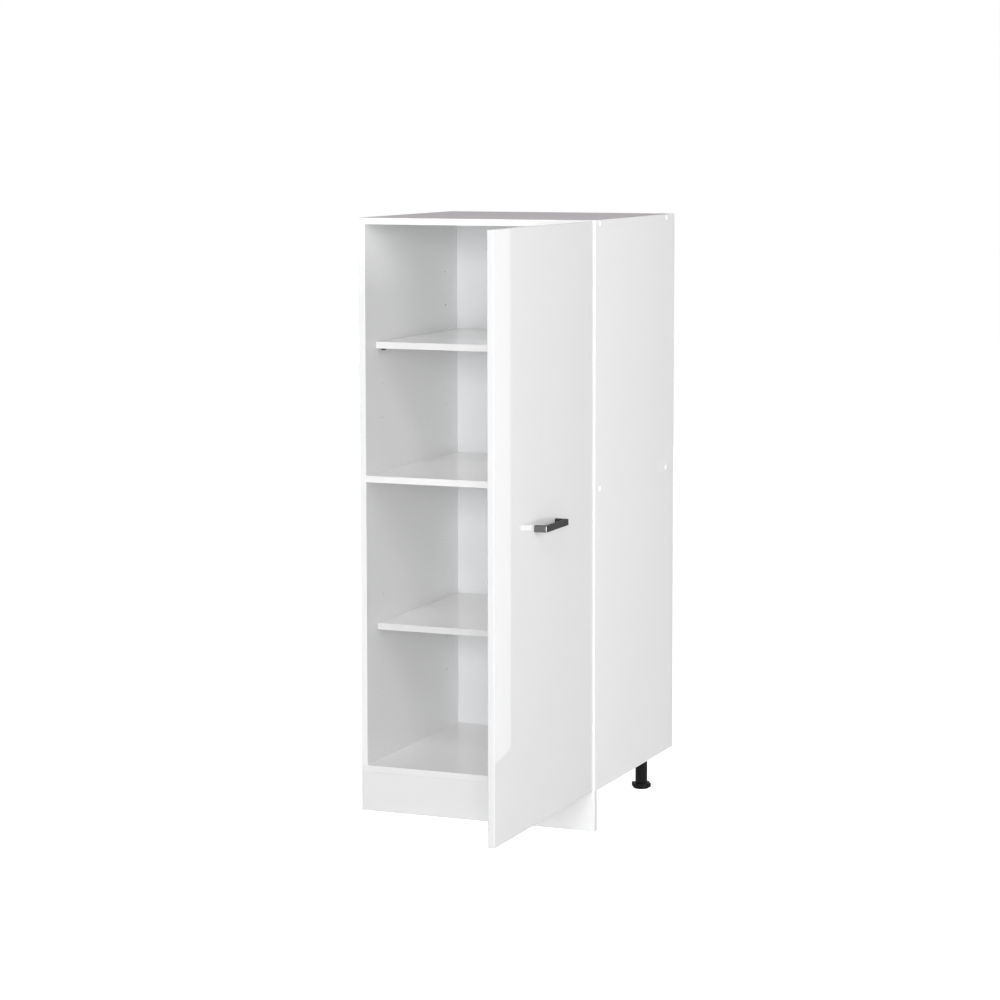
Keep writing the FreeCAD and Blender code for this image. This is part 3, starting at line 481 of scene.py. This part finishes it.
@dataclass(frozen=True)
class MouldedPlastic(Finish):
    """Injection-moulded plastic with a fine eroded texture.

    Attributes:
        spark: grains per metre of the texture.
        loss: how much darker the colour gets where it is uneven.
        smoother: how far the roughness goes down.
        rougher: how far it goes up.
        gloss: how strongly the plastic mirrors.
    """

    spark: float = 2500.0
    spark_depth: float = 0.02 * MM
    spark_share: float = 0.1
    cloud: float = 35.0
    loss: float = 0.15
    sheen: float = 90.0
    smoother: float = 0.05
    rougher: float = 0.08
    gloss: float = 0.5

    def wire(self, wiring: Wiring) -> None:
        """Wires a slightly uneven colour and a fine texture.

        Args:
            wiring: the nodes of the material that is made.
        """
        clouded = wiring.between(wiring.grain(self.cloud), self.colour, self.darker(self.loss))
        wiring.link(clouded, wiring.shader.inputs["Base Color"])
        wiring.constant(Specular_IOR_Level=self.gloss)
        low, high = self.roughness - self.smoother, self.roughness + self.rougher
        rough = wiring.spread(wiring.grain(self.sheen), low, high)
        wiring.link(rough, wiring.shader.inputs["Roughness"])
        wiring.relief(wiring.grain(self.spark), self.spark_depth, self.spark_share)


@dataclass(frozen=True)
class ThreadedPlastic(MouldedPlastic):
    """Moulded plastic with a coarse thread round an upright stem.

    Attributes:
        centre: X and Y of the stem's axis.
        stem: the heights between which the thread runs.
        pitch: how far the thread climbs in a turn.
        ridge: how high it stands.
        crest: where the crest lies, as a share of the pitch.
    """

    centre: Tuple[float, float] = (0.0, 0.0)
    stem: Tuple[float, float] = (0.0, 0.0)
    pitch: float = 5.0 * MM
    ridge: float = 0.6 * MM
    crest: float = 0.5

    def wire(self, wiring: Wiring) -> None:
        """Wires the plastic, and a ridge that climbs one pitch a turn along the stem.

        Args:
            wiring: the nodes of the material that is made.
        """
        super().wire(wiring)
        across = wiring.sum("SUBTRACT", wiring.along("X"), self.centre[0])
        inward = wiring.sum("SUBTRACT", wiring.along("Y"), self.centre[1])
        turn = wiring.sum("DIVIDE", wiring.sum("ARCTAN2", inward, across), FULL_TURN)
        level = wiring.along("Z")
        climb = wiring.sum("SUBTRACT", wiring.sum("DIVIDE", level, self.pitch), turn)
        ridge = wiring.sum("PINGPONG", climb, self.crest)
        low, high = self.stem
        stem = wiring.near(level, (low + high) / 2, (high - low) / 2)
        wiring.relief(wiring.sum("MULTIPLY", ridge, stem), self.ridge / self.crest, 1.0)


@dataclass(frozen=True)
class CoatedMetal(Finish):
    """Cast metal under a dark satin coat, with painted light on the end faces and a painted highlight at
    the grip's corners.

    Attributes:
        gloss: how strongly the coat mirrors.
        powder: grains per metre of the coat's texture.
        ends: Y of the two end faces.
        end_light_reach: how close to an end counts as an end face with painted light.
        grip_face: X of the grip's outer face.
        highlight_reach: how far the painted highlight at the corners reaches.
    """

    gloss: float = 0.1
    cloud: float = 80.0
    cloud_loss: float = 0.15
    sheen: float = 500.0
    sheen_spread: float = 0.05
    powder: float = 1800.0
    powder_detail: float = 3.0
    powder_depth: float = 0.02 * MM
    powder_share: float = 0.1
    # Painted light on the end faces, and a painted highlight where they meet the grip's outer face.
    ends: Tuple[float, float] = (NOWHERE, NOWHERE)
    end_light_reach: float = 0.3 * MM
    end_light_tone: Colour = tone(0.1, 0.1, 0.102)
    grip_face: float = NOWHERE
    highlight_reach: float = 2.0 * MM
    highlight_tone: Colour = tone(0.85, 0.85, 0.855)

    def wire(self, wiring: Wiring) -> None:
        """Wires a dark powdery coat, with painted light on the end faces and a painted highlight at the
        grip's corners.

        Args:
            wiring: the nodes of the material that is made.
        """
        clouded = wiring.between(wiring.grain(self.cloud), self.colour, self.darker(self.cloud_loss))
        inward = wiring.along("Y")
        # Painted light: each end face is lighter, with a painted highlight at its corner with the grip's
        # outer face.
        for end in self.ends:
            clouded = wiring.between(wiring.near(inward, end, self.end_light_reach), clouded, self.end_light_tone)
            corner = wiring.sum(
                "MULTIPLY", wiring.near(inward, end, self.highlight_reach),
                wiring.near(wiring.along("X"), self.grip_face, self.highlight_reach),
            )
            clouded = wiring.between(corner, clouded, self.highlight_tone)
        wiring.link(clouded, wiring.shader.inputs["Base Color"])
        wiring.constant(Specular_IOR_Level=self.gloss)
        low, high = self.roughness - self.sheen_spread, self.roughness + self.sheen_spread
        rough = wiring.spread(wiring.grain(self.sheen), low, high)
        wiring.link(rough, wiring.shader.inputs["Roughness"])
        wiring.relief(wiring.grain(self.powder, self.powder_detail), self.powder_depth, self.powder_share)


@dataclass(frozen=True)
class PlainWood(Finish):
    """Turned hardwood with its grain along X."""

    dark: Colour = tone(0.42, 0.26, 0.13)
    lines: float = 400.0
    line_detail: float = 4.0
    lay: Triple = (0.08, 1.0, 1.0)
    line_depth: float = 0.05 * MM
    line_share: float = 0.3

    def wire(self, wiring: Wiring) -> None:
        """Wires grain lines along the dowel.

        Args:
            wiring: the nodes of the material that is made.
        """
        grain = wiring.grain(self.lines, self.line_detail, self.lay)
        wiring.link(wiring.between(grain, self.colour, self.dark), wiring.shader.inputs["Base Color"])
        wiring.constant(Roughness=self.roughness)
        wiring.relief(grain, self.line_depth, self.line_share)


@dataclass(frozen=True)
class SoftRubber(Finish):
    """A clear soft bumper."""

    cloud: float = 200.0
    cloud_loss: float = 0.06
    index: float = 1.43
    clarity: float = 0.5

    def wire(self, wiring: Wiring) -> None:
        """Wires a milky, partly clear body.

        Args:
            wiring: the nodes of the material that is made.
        """
        clouded = wiring.between(wiring.grain(self.cloud), self.colour, self.darker(self.cloud_loss))
        wiring.link(clouded, wiring.shader.inputs["Base Color"])
        wiring.constant(Roughness=self.roughness, IOR=self.index, Transmission_Weight=self.clarity)


BOARD = FacedBoard("faced_board", tone(0.918, 0.924, 0.92), 0.2)
# Painted light: the shelves and the bottom panel are a lighter copy of the board's white, which brightens
# their tops.
LIT_SHELF = replace(BOARD, colour=tone(0.97, 0.958, 0.964), roughness=0.1)
TOP = replace(BOARD, gloss=0.1)
# Painted shade: the right side panel is a darker copy of the board's white.
SHADED_RIGHT = replace(BOARD, colour=BOARD.end_shade_tone)
FRONT = GlossFront("gloss_front", tone(0.755, 0.755, 0.757), 0.005)
PLINTH = GlossFront("front_plinth", tone(0.79, 0.79, 0.792), 0.2)
BACK = BackBoard("back_board", tone(0.872, 0.884, 0.892), 0.5)
CAP = MouldedPlastic("cap_plastic", tone(0.96, 0.96, 0.96), 0.35, loss=0.02)
PIN = MouldedPlastic("dark_pin", tone(0.05, 0.05, 0.052), 0.35)
FOOT = MouldedPlastic("foot_plastic", tone(0.008, 0.008, 0.009), 0.5, gloss=0.2)
ZINC = PlatedSteel("zinc_steel", tone(0.72, 0.72, 0.74), 0.3)
NICKEL = PlatedSteel("nickel_steel", tone(0.74, 0.72, 0.69), 0.22)
HANDLE = CoatedMetal("black_handle", tone(0.038, 0.038, 0.039), 0.5)
DOWEL = PlainWood("dowel_wood", tone(0.62, 0.43, 0.25), 0.6)
BUFFER = SoftRubber("buffer_rubber", tone(0.85, 0.86, 0.86), 0.2)

# Where the head faces on a screw that lies along X, Y or Z.
HEAD_SIDES = (Axis.LEFT, Axis.REAR, Axis.DOWN)
AXES = range(len(HEAD_SIDES))
WELD = 0.001 * MM
SMOOTH_LIMIT = math.radians(35)
RECESS_ARMS = 4


def islands(node: bpy.types.Object) -> List[Tuple[Vector, Vector]]:
    """Finds the boxes of a node's separate solids.

    Args:
        node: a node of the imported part.

    Returns:
        The lowest and highest corner of each solid.
    """
    shape = bmesh.new()
    shape.from_mesh(node.data)
    bmesh.ops.remove_doubles(shape, verts=shape.verts, dist=WELD)
    left = set(shape.verts)
    boxes = []
    while left:
        group = [left.pop()]
        for vertex in group:
            reached = {edge.other_vert(vertex) for edge in vertex.link_edges} & left
            left -= reached
            group.extend(reached)
        low = Vector([min(vertex.co[axis] for vertex in group) for axis in AXES])
        high = Vector([max(vertex.co[axis] for vertex in group) for axis in AXES])
        boxes.append((low, high))
    shape.free()
    return sorted(boxes, key=lambda box: tuple(box[0]))


@dataclass(frozen=True)
class PanScrew:
    """A pan-head wood screw with a crossed recess, its head up and its seat at the origin.

    Attributes:
        head: the head's diameter.
        rise: how high the head stands.
        shank: the thread's outer diameter.
        length: how far the screw goes below its seat.
        core_share: the core's diameter, as a share of the shank's.
        flat_share: the head's flat, as a share of its diameter.
        head_curve: the head's outline below the flat, as shares of its radius and rise.
        crest_drop: where the thread's crest lies, as a share of the pitch.
        root_drop: where its root begins again.
        recess_reach: how far the cross reaches, as a share of the head's radius.
        recess_width: half the width of its arms, likewise.
        recess_depth: how deep it is, as a share of the rise.
        recess_taper: how much narrower it is at the bottom.
        steps: flats round the screw.
    """

    head: float
    rise: float
    shank: float
    length: float
    pitch: float = 1.6 * MM
    tip: float = 3.0 * MM
    core_share: float = 0.72
    flat_share: float = 0.66
    head_curve: Sequence[Tuple[float, float]] = ((0.86, 0.88), (0.97, 0.6), (1.0, 0.3), (0.98, 0.0))
    crest_drop: float = 0.3
    root_drop: float = 0.6
    recess_reach: float = 0.52
    recess_width: float = 0.13
    recess_depth: float = 0.6
    recess_taper: float = 0.8
    steps: int = 28

    def profile(self) -> List[Tuple[float, float]]:
        """Draws the half section, from the flat of the head to the tip.

        Returns:
            The points, as radius and height.
        """
        head, outer = self.head / 2, self.shank / 2
        core = outer * self.core_share
        crest, root = self.pitch * self.crest_drop, self.pitch * self.root_drop
        points = [(head * self.flat_share, self.rise)]
        points += [(head * out, self.rise * up) for out, up in self.head_curve]
        points.append((core, 0.0))
        level = -self.pitch
        while level > self.tip - self.length:
            points += [(core, level), (outer, level - crest), (core, level - root)]
            level -= self.pitch
        points.append((0.0, -self.length))
        return points

    def cut_recess(self, shape: bmesh.types.BMesh) -> None:
        """Closes the head's flat round a crossed recess and sinks the recess.

        Args:
            shape: the turned screw, open at the flat of its head.
        """
        rim = [edge for edge in shape.edges if edge.is_boundary]
        long, half = self.head / 2 * self.recess_reach, self.head / 2 * self.recess_width
        corner = [(half, long), (-half, long), (-half, half)]
        outline = []
        for arm in range(RECESS_ARMS):
            turn = Matrix.Rotation(FULL_TURN * arm / RECESS_ARMS, 3, "Z")
            outline += [turn @ Vector((x, y, self.rise)) for x, y in corner]
        cross = [shape.verts.new(point) for point in outline]
        lips = [shape.edges.new((first, second)) for first, second in zip(cross, cross[1:] + cross[:1])]
        bmesh.ops.triangle_fill(shape, use_beauty=True, edges=rim + lips, normal=(0, 0, 1))
        sunk = bmesh.ops.extrude_edge_only(shape, edges=lips)["geom"]
        floor = [part for part in sunk if isinstance(part, bmesh.types.BMVert)]
        edges = [part for part in sunk if isinstance(part, bmesh.types.BMEdge)]
        bmesh.ops.scale(shape, vec=(self.recess_taper, self.recess_taper, 1.0), verts=floor)
        bmesh.ops.translate(shape, vec=(0, 0, -self.rise * self.recess_depth), verts=floor)
        bmesh.ops.contextual_create(shape, geom=edges)

    def build(self) -> bpy.types.Mesh:
        """Turns the screw and cuts its recess.

        Returns:
            The screw's mesh.
        """
        shape = bmesh.new()
        points = [shape.verts.new((radius, 0.0, level)) for radius, level in self.profile()]
        line = [shape.edges.new(pair) for pair in zip(points, points[1:])]
        bmesh.ops.spin(
            shape, geom=points + line, cent=(0, 0, 0), axis=(0, 0, 1), dvec=(0, 0, 0),
            angle=FULL_TURN, steps=self.steps, use_merge=True, use_duplicate=False,
        )
        bmesh.ops.remove_doubles(shape, verts=shape.verts, dist=WELD)
        self.cut_recess(shape)
        bmesh.ops.recalc_face_normals(shape, faces=shape.faces)
        mesh = bpy.data.meshes.new("pan_screw")
        shape.to_mesh(mesh)
        shape.free()
        return mesh


@dataclass(frozen=True)
class ScrewSet:
    """All the small screws of one node, which stand in the solids' places.

    Attributes:
        node: the node that they replace.
        body: the body that they ride on.
        rise: how high their heads stand.
        shank: their thread's outer diameter.
        twist: how far each is turned past the one before.
    """

    node: str
    body: str
    rise: float
    shank: float
    twist: float = math.radians(37)

    def seat(self, low: Vector, high: Vector, index: int) -> Tuple[PanScrew, Matrix]:
        """Works out one screw from its solid's box.

        Args:
            low: the lowest corner.
            high: the highest corner.
            index: the screw's number, which sets how far it is turned in.

        Returns:
            The screw and its place.
        """
        size = high - low
        axis = max(AXES, key=lambda along: size[along])
        outward = HEAD_SIDES[axis].vector
        screw = PanScrew(min(size), self.rise, self.shank, size[axis] - self.rise)
        origin = (low + high) / 2 + outward * (size[axis] / 2 - self.rise)
        turned = Vector((0, 0, 1)).rotation_difference(outward).to_matrix().to_4x4()
        place = Matrix.Translation(origin) @ turned @ Matrix.Rotation(index * self.twist, 4, "Z")
        return screw, place

    def build(self, nodes: Dict[str, bpy.types.Object]) -> bpy.types.Object:
        """Builds the set as one piece that rides on its body.

        Args:
            nodes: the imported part's nodes.

        Returns:
            The new piece.
        """
        shape = bmesh.new()
        for index, (low, high) in enumerate(islands(nodes[self.node])):
            screw, place = self.seat(low, high, index)
            single = screw.build()
            known = len(shape.verts)
            shape.from_mesh(single)
            shape.verts.ensure_lookup_table()
            bmesh.ops.transform(shape, matrix=place, verts=shape.verts[known:])
            bpy.data.meshes.remove(single)
        for face in shape.faces:
            face.smooth = True
        for edge in shape.edges:
            edge.smooth = edge.calc_face_angle(math.pi) < SMOOTH_LIMIT
        mesh = bpy.data.meshes.new(f"crossed_{self.node}")
        shape.to_mesh(mesh)
        shape.free()
        mesh.materials.append(ZINC.make())
        piece = bpy.data.objects.new(mesh.name, mesh)
        bpy.context.scene.collection.objects.link(piece)
        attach(piece, self.body)
        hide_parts(self.node)
        LOG.info("%s built on %s", piece.name, self.body)
        return piece


@dataclass
class SubAssembly:
    """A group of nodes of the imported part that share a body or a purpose."""

    nodes: Dict[str, bpy.types.Object]

    def dress(self, finish: Finish, *labels: str) -> None:
        """Gives nodes their finish.

        Args:
            finish: what they are made of.
            labels: the nodes' names.
        """
        material = finish.make()
        for label in labels:
            node = self.nodes[label]
            node.data.materials.clear()
            node.data.materials.append(material)
            LOG.info("%s dressed in %s", label, finish.name)


@dataclass
class Carcass(SubAssembly):
    """The fixed boards, the back and what joins them.

    Attributes:
        sides: each side panel and its finish.
        shelves: each shelf and how much darker its edging is, partly the tape's own tone and partly
            painted shade, which differs from shelf to shelf.
        bottom_edging_and_shade_loss: the same for the bottom panel.
        bracket_screws: the screws of the plinth's brackets.
    """

    sides: Sequence[Tuple[str, FacedBoard]] = (("left_side_panel", BOARD), ("right_side_panel", SHADED_RIGHT))
    # Painted shade on each shelf's front edge, by a different amount for each shelf.
    shelves: Sequence[Tuple[str, float]] = (
        ("fixed_shelf", 0.1), ("lower_shelf", 0.27), ("upper_shelf", 0.18),
    )
    bottom_edging_and_shade_loss: float = 0.16
    bracket_screws: ScrewSet = ScrewSet("plinth_bracket_screws", "carcass", 1.8 * MM, 3.5 * MM)

    def finish_boards(self) -> None:
        """Dresses each board with an edging joint behind its own front."""
        finishes: Dict[str, FacedBoard] = dict(self.sides)
        finishes.update({label: replace(LIT_SHELF, edging_and_shade_loss=loss) for label, loss in self.shelves})
        # Painted shade: the bottom panel's right end takes the right side panel's darker tone.
        _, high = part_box("bottom_panel")
        finishes["bottom_panel"] = replace(LIT_SHELF, edging_and_shade_loss=self.bottom_edging_and_shade_loss, shaded_right_end=high[0])
        finishes["top_panel"] = TOP
        _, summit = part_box("top_panel")
        for label, finish in finishes.items():
            low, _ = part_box(label)
            own = replace(finish, name=f"faced_{label}", front=low[1], upper_side=summit[2])
            self.dress(own, label)

    def build(self) -> None:
        """Dresses boards, back and fixings."""
        self.finish_boards()
        self.dress(PLINTH, "plinth_board")
        self.dress(BACK, "back_panel")
        self.dress(CAP, "screw_caps")
        self.dress(PIN, "lower_shelf_pins", "upper_shelf_pins")
        self.dress(ZINC, "side_screws", "floor_screws", "back_panel_nails", "plinth_brackets")
        self.dress(DOWEL, "dowels")
        self.bracket_screws.build(self.nodes)


@dataclass
class FrontDoor(SubAssembly):
    """The gloss door with its handle and buffers."""

    handle_screws: ScrewSet = ScrewSet("handle_screws", "door", 2.4 * MM, 4.0 * MM)

    def build(self) -> None:
        """Dresses the door, handle and buffers."""
        low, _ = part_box("door_panel")
        self.dress(replace(FRONT, inner_side=low[0], free_edge=low[1]), "door_panel")
        low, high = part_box("handle")
        self.dress(replace(HANDLE, ends=(low[1], high[1]), grip_face=high[0]), "handle")
        self.dress(BUFFER, "door_buffers")
        self.handle_screws.build(self.nodes)


@dataclass
class CupHinges(SubAssembly):
    """The three concealed hinges."""

    screws: Sequence[ScrewSet] = (
        ScrewSet("hinge_cup_screws", "door", 1.8 * MM, 3.5 * MM),
        ScrewSet("hinge_plate_screws", "carcass", 1.8 * MM, 3.5 * MM),
        ScrewSet("hinge_arm_screws", "carcass", 2.0 * MM, 4.0 * MM),
    )

    def build(self) -> None:
        """Dresses cups, links, arms and plates, and builds their screws."""
        self.dress(
            NICKEL, "hinge_cups", "hinge_cup_pins", "hinge_outer_links", "hinge_inner_links",
            "hinge_arms", "hinge_arm_pins", "hinge_mounting_plates",
        )
        for screws in self.screws:
            screws.build(self.nodes)


@dataclass
class RearFeet(SubAssembly):
    """The two adjustable feet behind the plinth.

    Attributes:
        stem: the heights between which the stems are threaded.
        socket_screws: the screws that hold the sockets.
    """

    stem: Tuple[float, float] = (14.2 * MM, 66.0 * MM)
    socket_screws: ScrewSet = ScrewSet("foot_socket_screws", "carcass", 1.8 * MM, 3.5 * MM)

    def build(self) -> None:
        """Dresses sockets, adjusters and glides, with a thread on each stem."""
        for side in ("left", "right"):
            self.dress(FOOT, f"{side}_foot_socket", f"{side}_foot_glide")
            low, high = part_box(f"{side}_foot_glide")
            centre = ((low[0] + high[0]) / 2, (low[1] + high[1]) / 2)
            thread = ThreadedPlastic(
                f"{side}_threaded_plastic", FOOT.colour, FOOT.roughness, gloss=FOOT.gloss,
                centre=centre, stem=self.stem,
            )
            self.dress(thread, f"{side}_foot_adjuster")
        self.socket_screws.build(self.nodes)


@dataclass(frozen=True)
class Softbox:
    """A rectangular studio lamp, which either lights the object or only shows in its gloss.

    Attributes:
        place: where its middle hangs.
        aim: the point that it faces.
        power: what it gives, in watts.
        reflected_only: whether it is only mirrored and lights nothing.
    """

    name: str
    place: Triple
    aim: Triple
    width: float
    height: float
    power: float
    reflected_only: bool = False

    def hang(self) -> None:
        """Hangs the lamp and turns it to its aim."""
        lamp = bpy.data.lights.new(self.name, "AREA")
        lamp.shape = "RECTANGLE"
        lamp.size = self.width
        lamp.size_y = self.height
        lamp.energy = self.power
        holder = bpy.data.objects.new(self.name, lamp)
        holder.location = self.place
        holder.rotation_euler = (Vector(self.aim) - Vector(self.place)).to_track_quat("-Z", "Y").to_euler()
        holder.visible_camera = False
        holder.visible_diffuse = not self.reflected_only
        holder.visible_glossy = self.reflected_only
        bpy.context.scene.collection.objects.link(holder)


@dataclass
class Studio:
    """Floor, soft light and the camera at the photograph's angle.

    Attributes:
        ambient: the light from all round.
        floor_half: half the floor's width.
        floor_paint: the colour that takes the object's shadow.
        floor_glow: what the camera sees besides, so that the floor is white.
        backdrop_sheen: how bright floor and backdrop are in reflections.
        camera_turns: the camera's rotation about X, Y and Z, in degrees.
        camera_rise: the lens shift upwards, as a share of the picture.
        lens: the focal length, in millimetres.
    """

    ambient: float = 0.1
    floor_half: float = 15.0
    floor_paint: Colour = tone(0.6, 0.6, 0.6)
    floor_glow: float = 0.95
    backdrop_sheen: float = 0.8
    camera_place: Triple = (2.6824, -6.6508, 1.6480)
    camera_turns: Triple = (84.688, 0.076, 22.349)
    camera_rise: float = -0.1
    lens: float = 106.43
    softboxes: Sequence[Softbox] = (
        Softbox("key_softbox", (3.0, -10.3, 1.9), (0.0, -0.2, 0.75), 3.6, 3.6, 622.0),
        Softbox("high_softbox", (1.6, -5.6, 5.6), (0.0, -0.2, 0.75), 3.6, 3.6, 200.0),
        Softbox("side_softbox", (4.0, -2.6, 1.7), (0.3, -0.3, 0.75), 1.5, 2.0, 112.0),
        Softbox("ceiling_softbox", (0.0, 0.3, 3.5), (0.0, 0.2, 1.4), 1.5, 1.5, 0.8),
        Softbox("fill_softbox", (-7.5, 0.5, 2.2), (0.28, -0.58, 0.75), 1.4, 2.0, 240.0),
        Softbox("rear_softbox", (-1.5, 7.5, 2.2), (-0.1, 0.1, 0.7), 2.4, 2.0, 420.0),
        Softbox(
            "reflection_card", (0.804, 0.396, 1.25), (-0.185, 0.547, 1.25), 0.206, 2.5, 1.2,
            reflected_only=True,
        ),
        Softbox(
            "handle_card", (0.3068, -0.6676, 0.766), (0.2957, -0.6952, 0.7701), 0.024, 0.0125, 0.0016,
            reflected_only=True,
        ),
    )

    def light_world(self) -> None:
        """Lights all round evenly, and shows white to the camera and a pale grey to reflections."""
        world = bpy.data.worlds.new("studio")
        bpy.context.scene.world = world
        world.use_nodes = True
        tree = world.node_tree
        tree.nodes.clear()
        seen = self.seen_rays(tree, self.backdrop_sheen)
        strength = tree.nodes.new("ShaderNodeMapRange")
        strength.inputs["To Min"].default_value = self.ambient
        strength.inputs["To Max"].default_value = 1.0
        tree.links.new(seen, strength.inputs["Value"])
        background = tree.nodes.new("ShaderNodeBackground")
        background.inputs["Color"].default_value = tone(1.0, 1.0, 1.0)
        tree.links.new(strength.outputs["Result"], background.inputs["Strength"])
        output = tree.nodes.new("ShaderNodeOutputWorld")
        tree.links.new(background.outputs["Background"], output.inputs["Surface"])

    @staticmethod
    def seen_rays(tree: bpy.types.NodeTree, mirrored: float) -> Socket:
        """Tells rays that show a surface from rays that light one.

        Args:
            tree: the world's or the floor's nodes.
            mirrored: the value for a reflection.

        Returns:
            1 for the camera's rays and those through a clear body, and 0 for those that light.
        """
        path = tree.nodes.new("ShaderNodeLightPath")
        total = path.outputs["Is Camera Ray"]
        for label, share in (("Is Glossy Ray", mirrored), ("Is Transmission Ray", 1.0)):
            scaled = tree.nodes.new("ShaderNodeMath")
            scaled.operation = "MULTIPLY"
            scaled.inputs[1].default_value = share
            tree.links.new(path.outputs[label], scaled.inputs[0])
            larger = tree.nodes.new("ShaderNodeMath")
            larger.operation = "MAXIMUM"
            tree.links.new(total, larger.inputs[0])
            tree.links.new(scaled.outputs["Value"], larger.inputs[1])
            total = larger.outputs["Value"]
        return total

    def floor_finish(self) -> bpy.types.Material:
        """Makes a white that keeps the object's shadow and is mirrored as the backdrop is.

        Returns:
            The floor's material.
        """
        material = bpy.data.materials.new("studio_floor")
        material.use_nodes = True
        tree = material.node_tree
        tree.nodes.clear()
        paint = tree.nodes.new("ShaderNodeBsdfDiffuse")
        paint.inputs["Color"].default_value = self.floor_paint
        glow = tree.nodes.new("ShaderNodeEmission")
        strength = tree.nodes.new("ShaderNodeMapRange")
        strength.inputs["To Max"].default_value = self.floor_glow
        tree.links.new(self.seen_rays(tree, mirrored=0.0), strength.inputs["Value"])
        tree.links.new(strength.outputs["Result"], glow.inputs["Strength"])
        both = tree.nodes.new("ShaderNodeAddShader")
        tree.links.new(paint.outputs["BSDF"], both.inputs[0])
        tree.links.new(glow.outputs["Emission"], both.inputs[1])
        mirrored = tree.nodes.new("ShaderNodeEmission")
        mirrored.inputs["Strength"].default_value = self.backdrop_sheen
        path = tree.nodes.new("ShaderNodeLightPath")
        choice = tree.nodes.new("ShaderNodeMixShader")
        tree.links.new(path.outputs["Is Glossy Ray"], choice.inputs["Fac"])
        tree.links.new(both.outputs["Shader"], choice.inputs[1])
        tree.links.new(mirrored.outputs["Emission"], choice.inputs[2])
        output = tree.nodes.new("ShaderNodeOutputMaterial")
        tree.links.new(choice.outputs["Shader"], output.inputs["Surface"])
        return material

    def lay_floor(self) -> None:
        """Lays a plain floor."""
        mesh = bpy.data.meshes.new("studio_floor")
        sheet = bmesh.new()
        bmesh.ops.create_grid(sheet, x_segments=1, y_segments=1, size=self.floor_half)
        sheet.to_mesh(mesh)
        sheet.free()
        mesh.materials.append(self.floor_finish())
        floor = bpy.data.objects.new("studio_floor", mesh)
        bpy.context.scene.collection.objects.link(floor)

    def set_camera(self) -> None:
        """Sets the camera at the photograph's viewing angle."""
        camera = bpy.data.cameras.new("view")
        camera.lens = self.lens
        camera.shift_y = self.camera_rise
        holder = bpy.data.objects.new("view", camera)
        holder.location = self.camera_place
        holder.rotation_euler = [math.radians(turn) for turn in self.camera_turns]
        bpy.context.scene.collection.objects.link(holder)
        bpy.context.scene.camera = holder

    def build(self) -> None:
        """Sets up world, floor, lamps and camera."""
        bpy.context.scene.view_settings.view_transform = "Standard"
        self.light_world()
        self.lay_floor()
        for softbox in self.softboxes:
            softbox.hang()
            LOG.info("%s hung", softbox.name)
        self.set_camera()


def main() -> None:
    """Loads the frame, dresses each sub-assembly, and sets up the studio."""
    logging.basicConfig(level=logging.INFO, format="%(name)s: %(message)s")
    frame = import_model()
    for assembly in (Carcass, FrontDoor, CupHinges, RearFeet):
        assembly(frame["nodes"]).build()
    Studio().build()


if __name__ == "__main__":
    main()
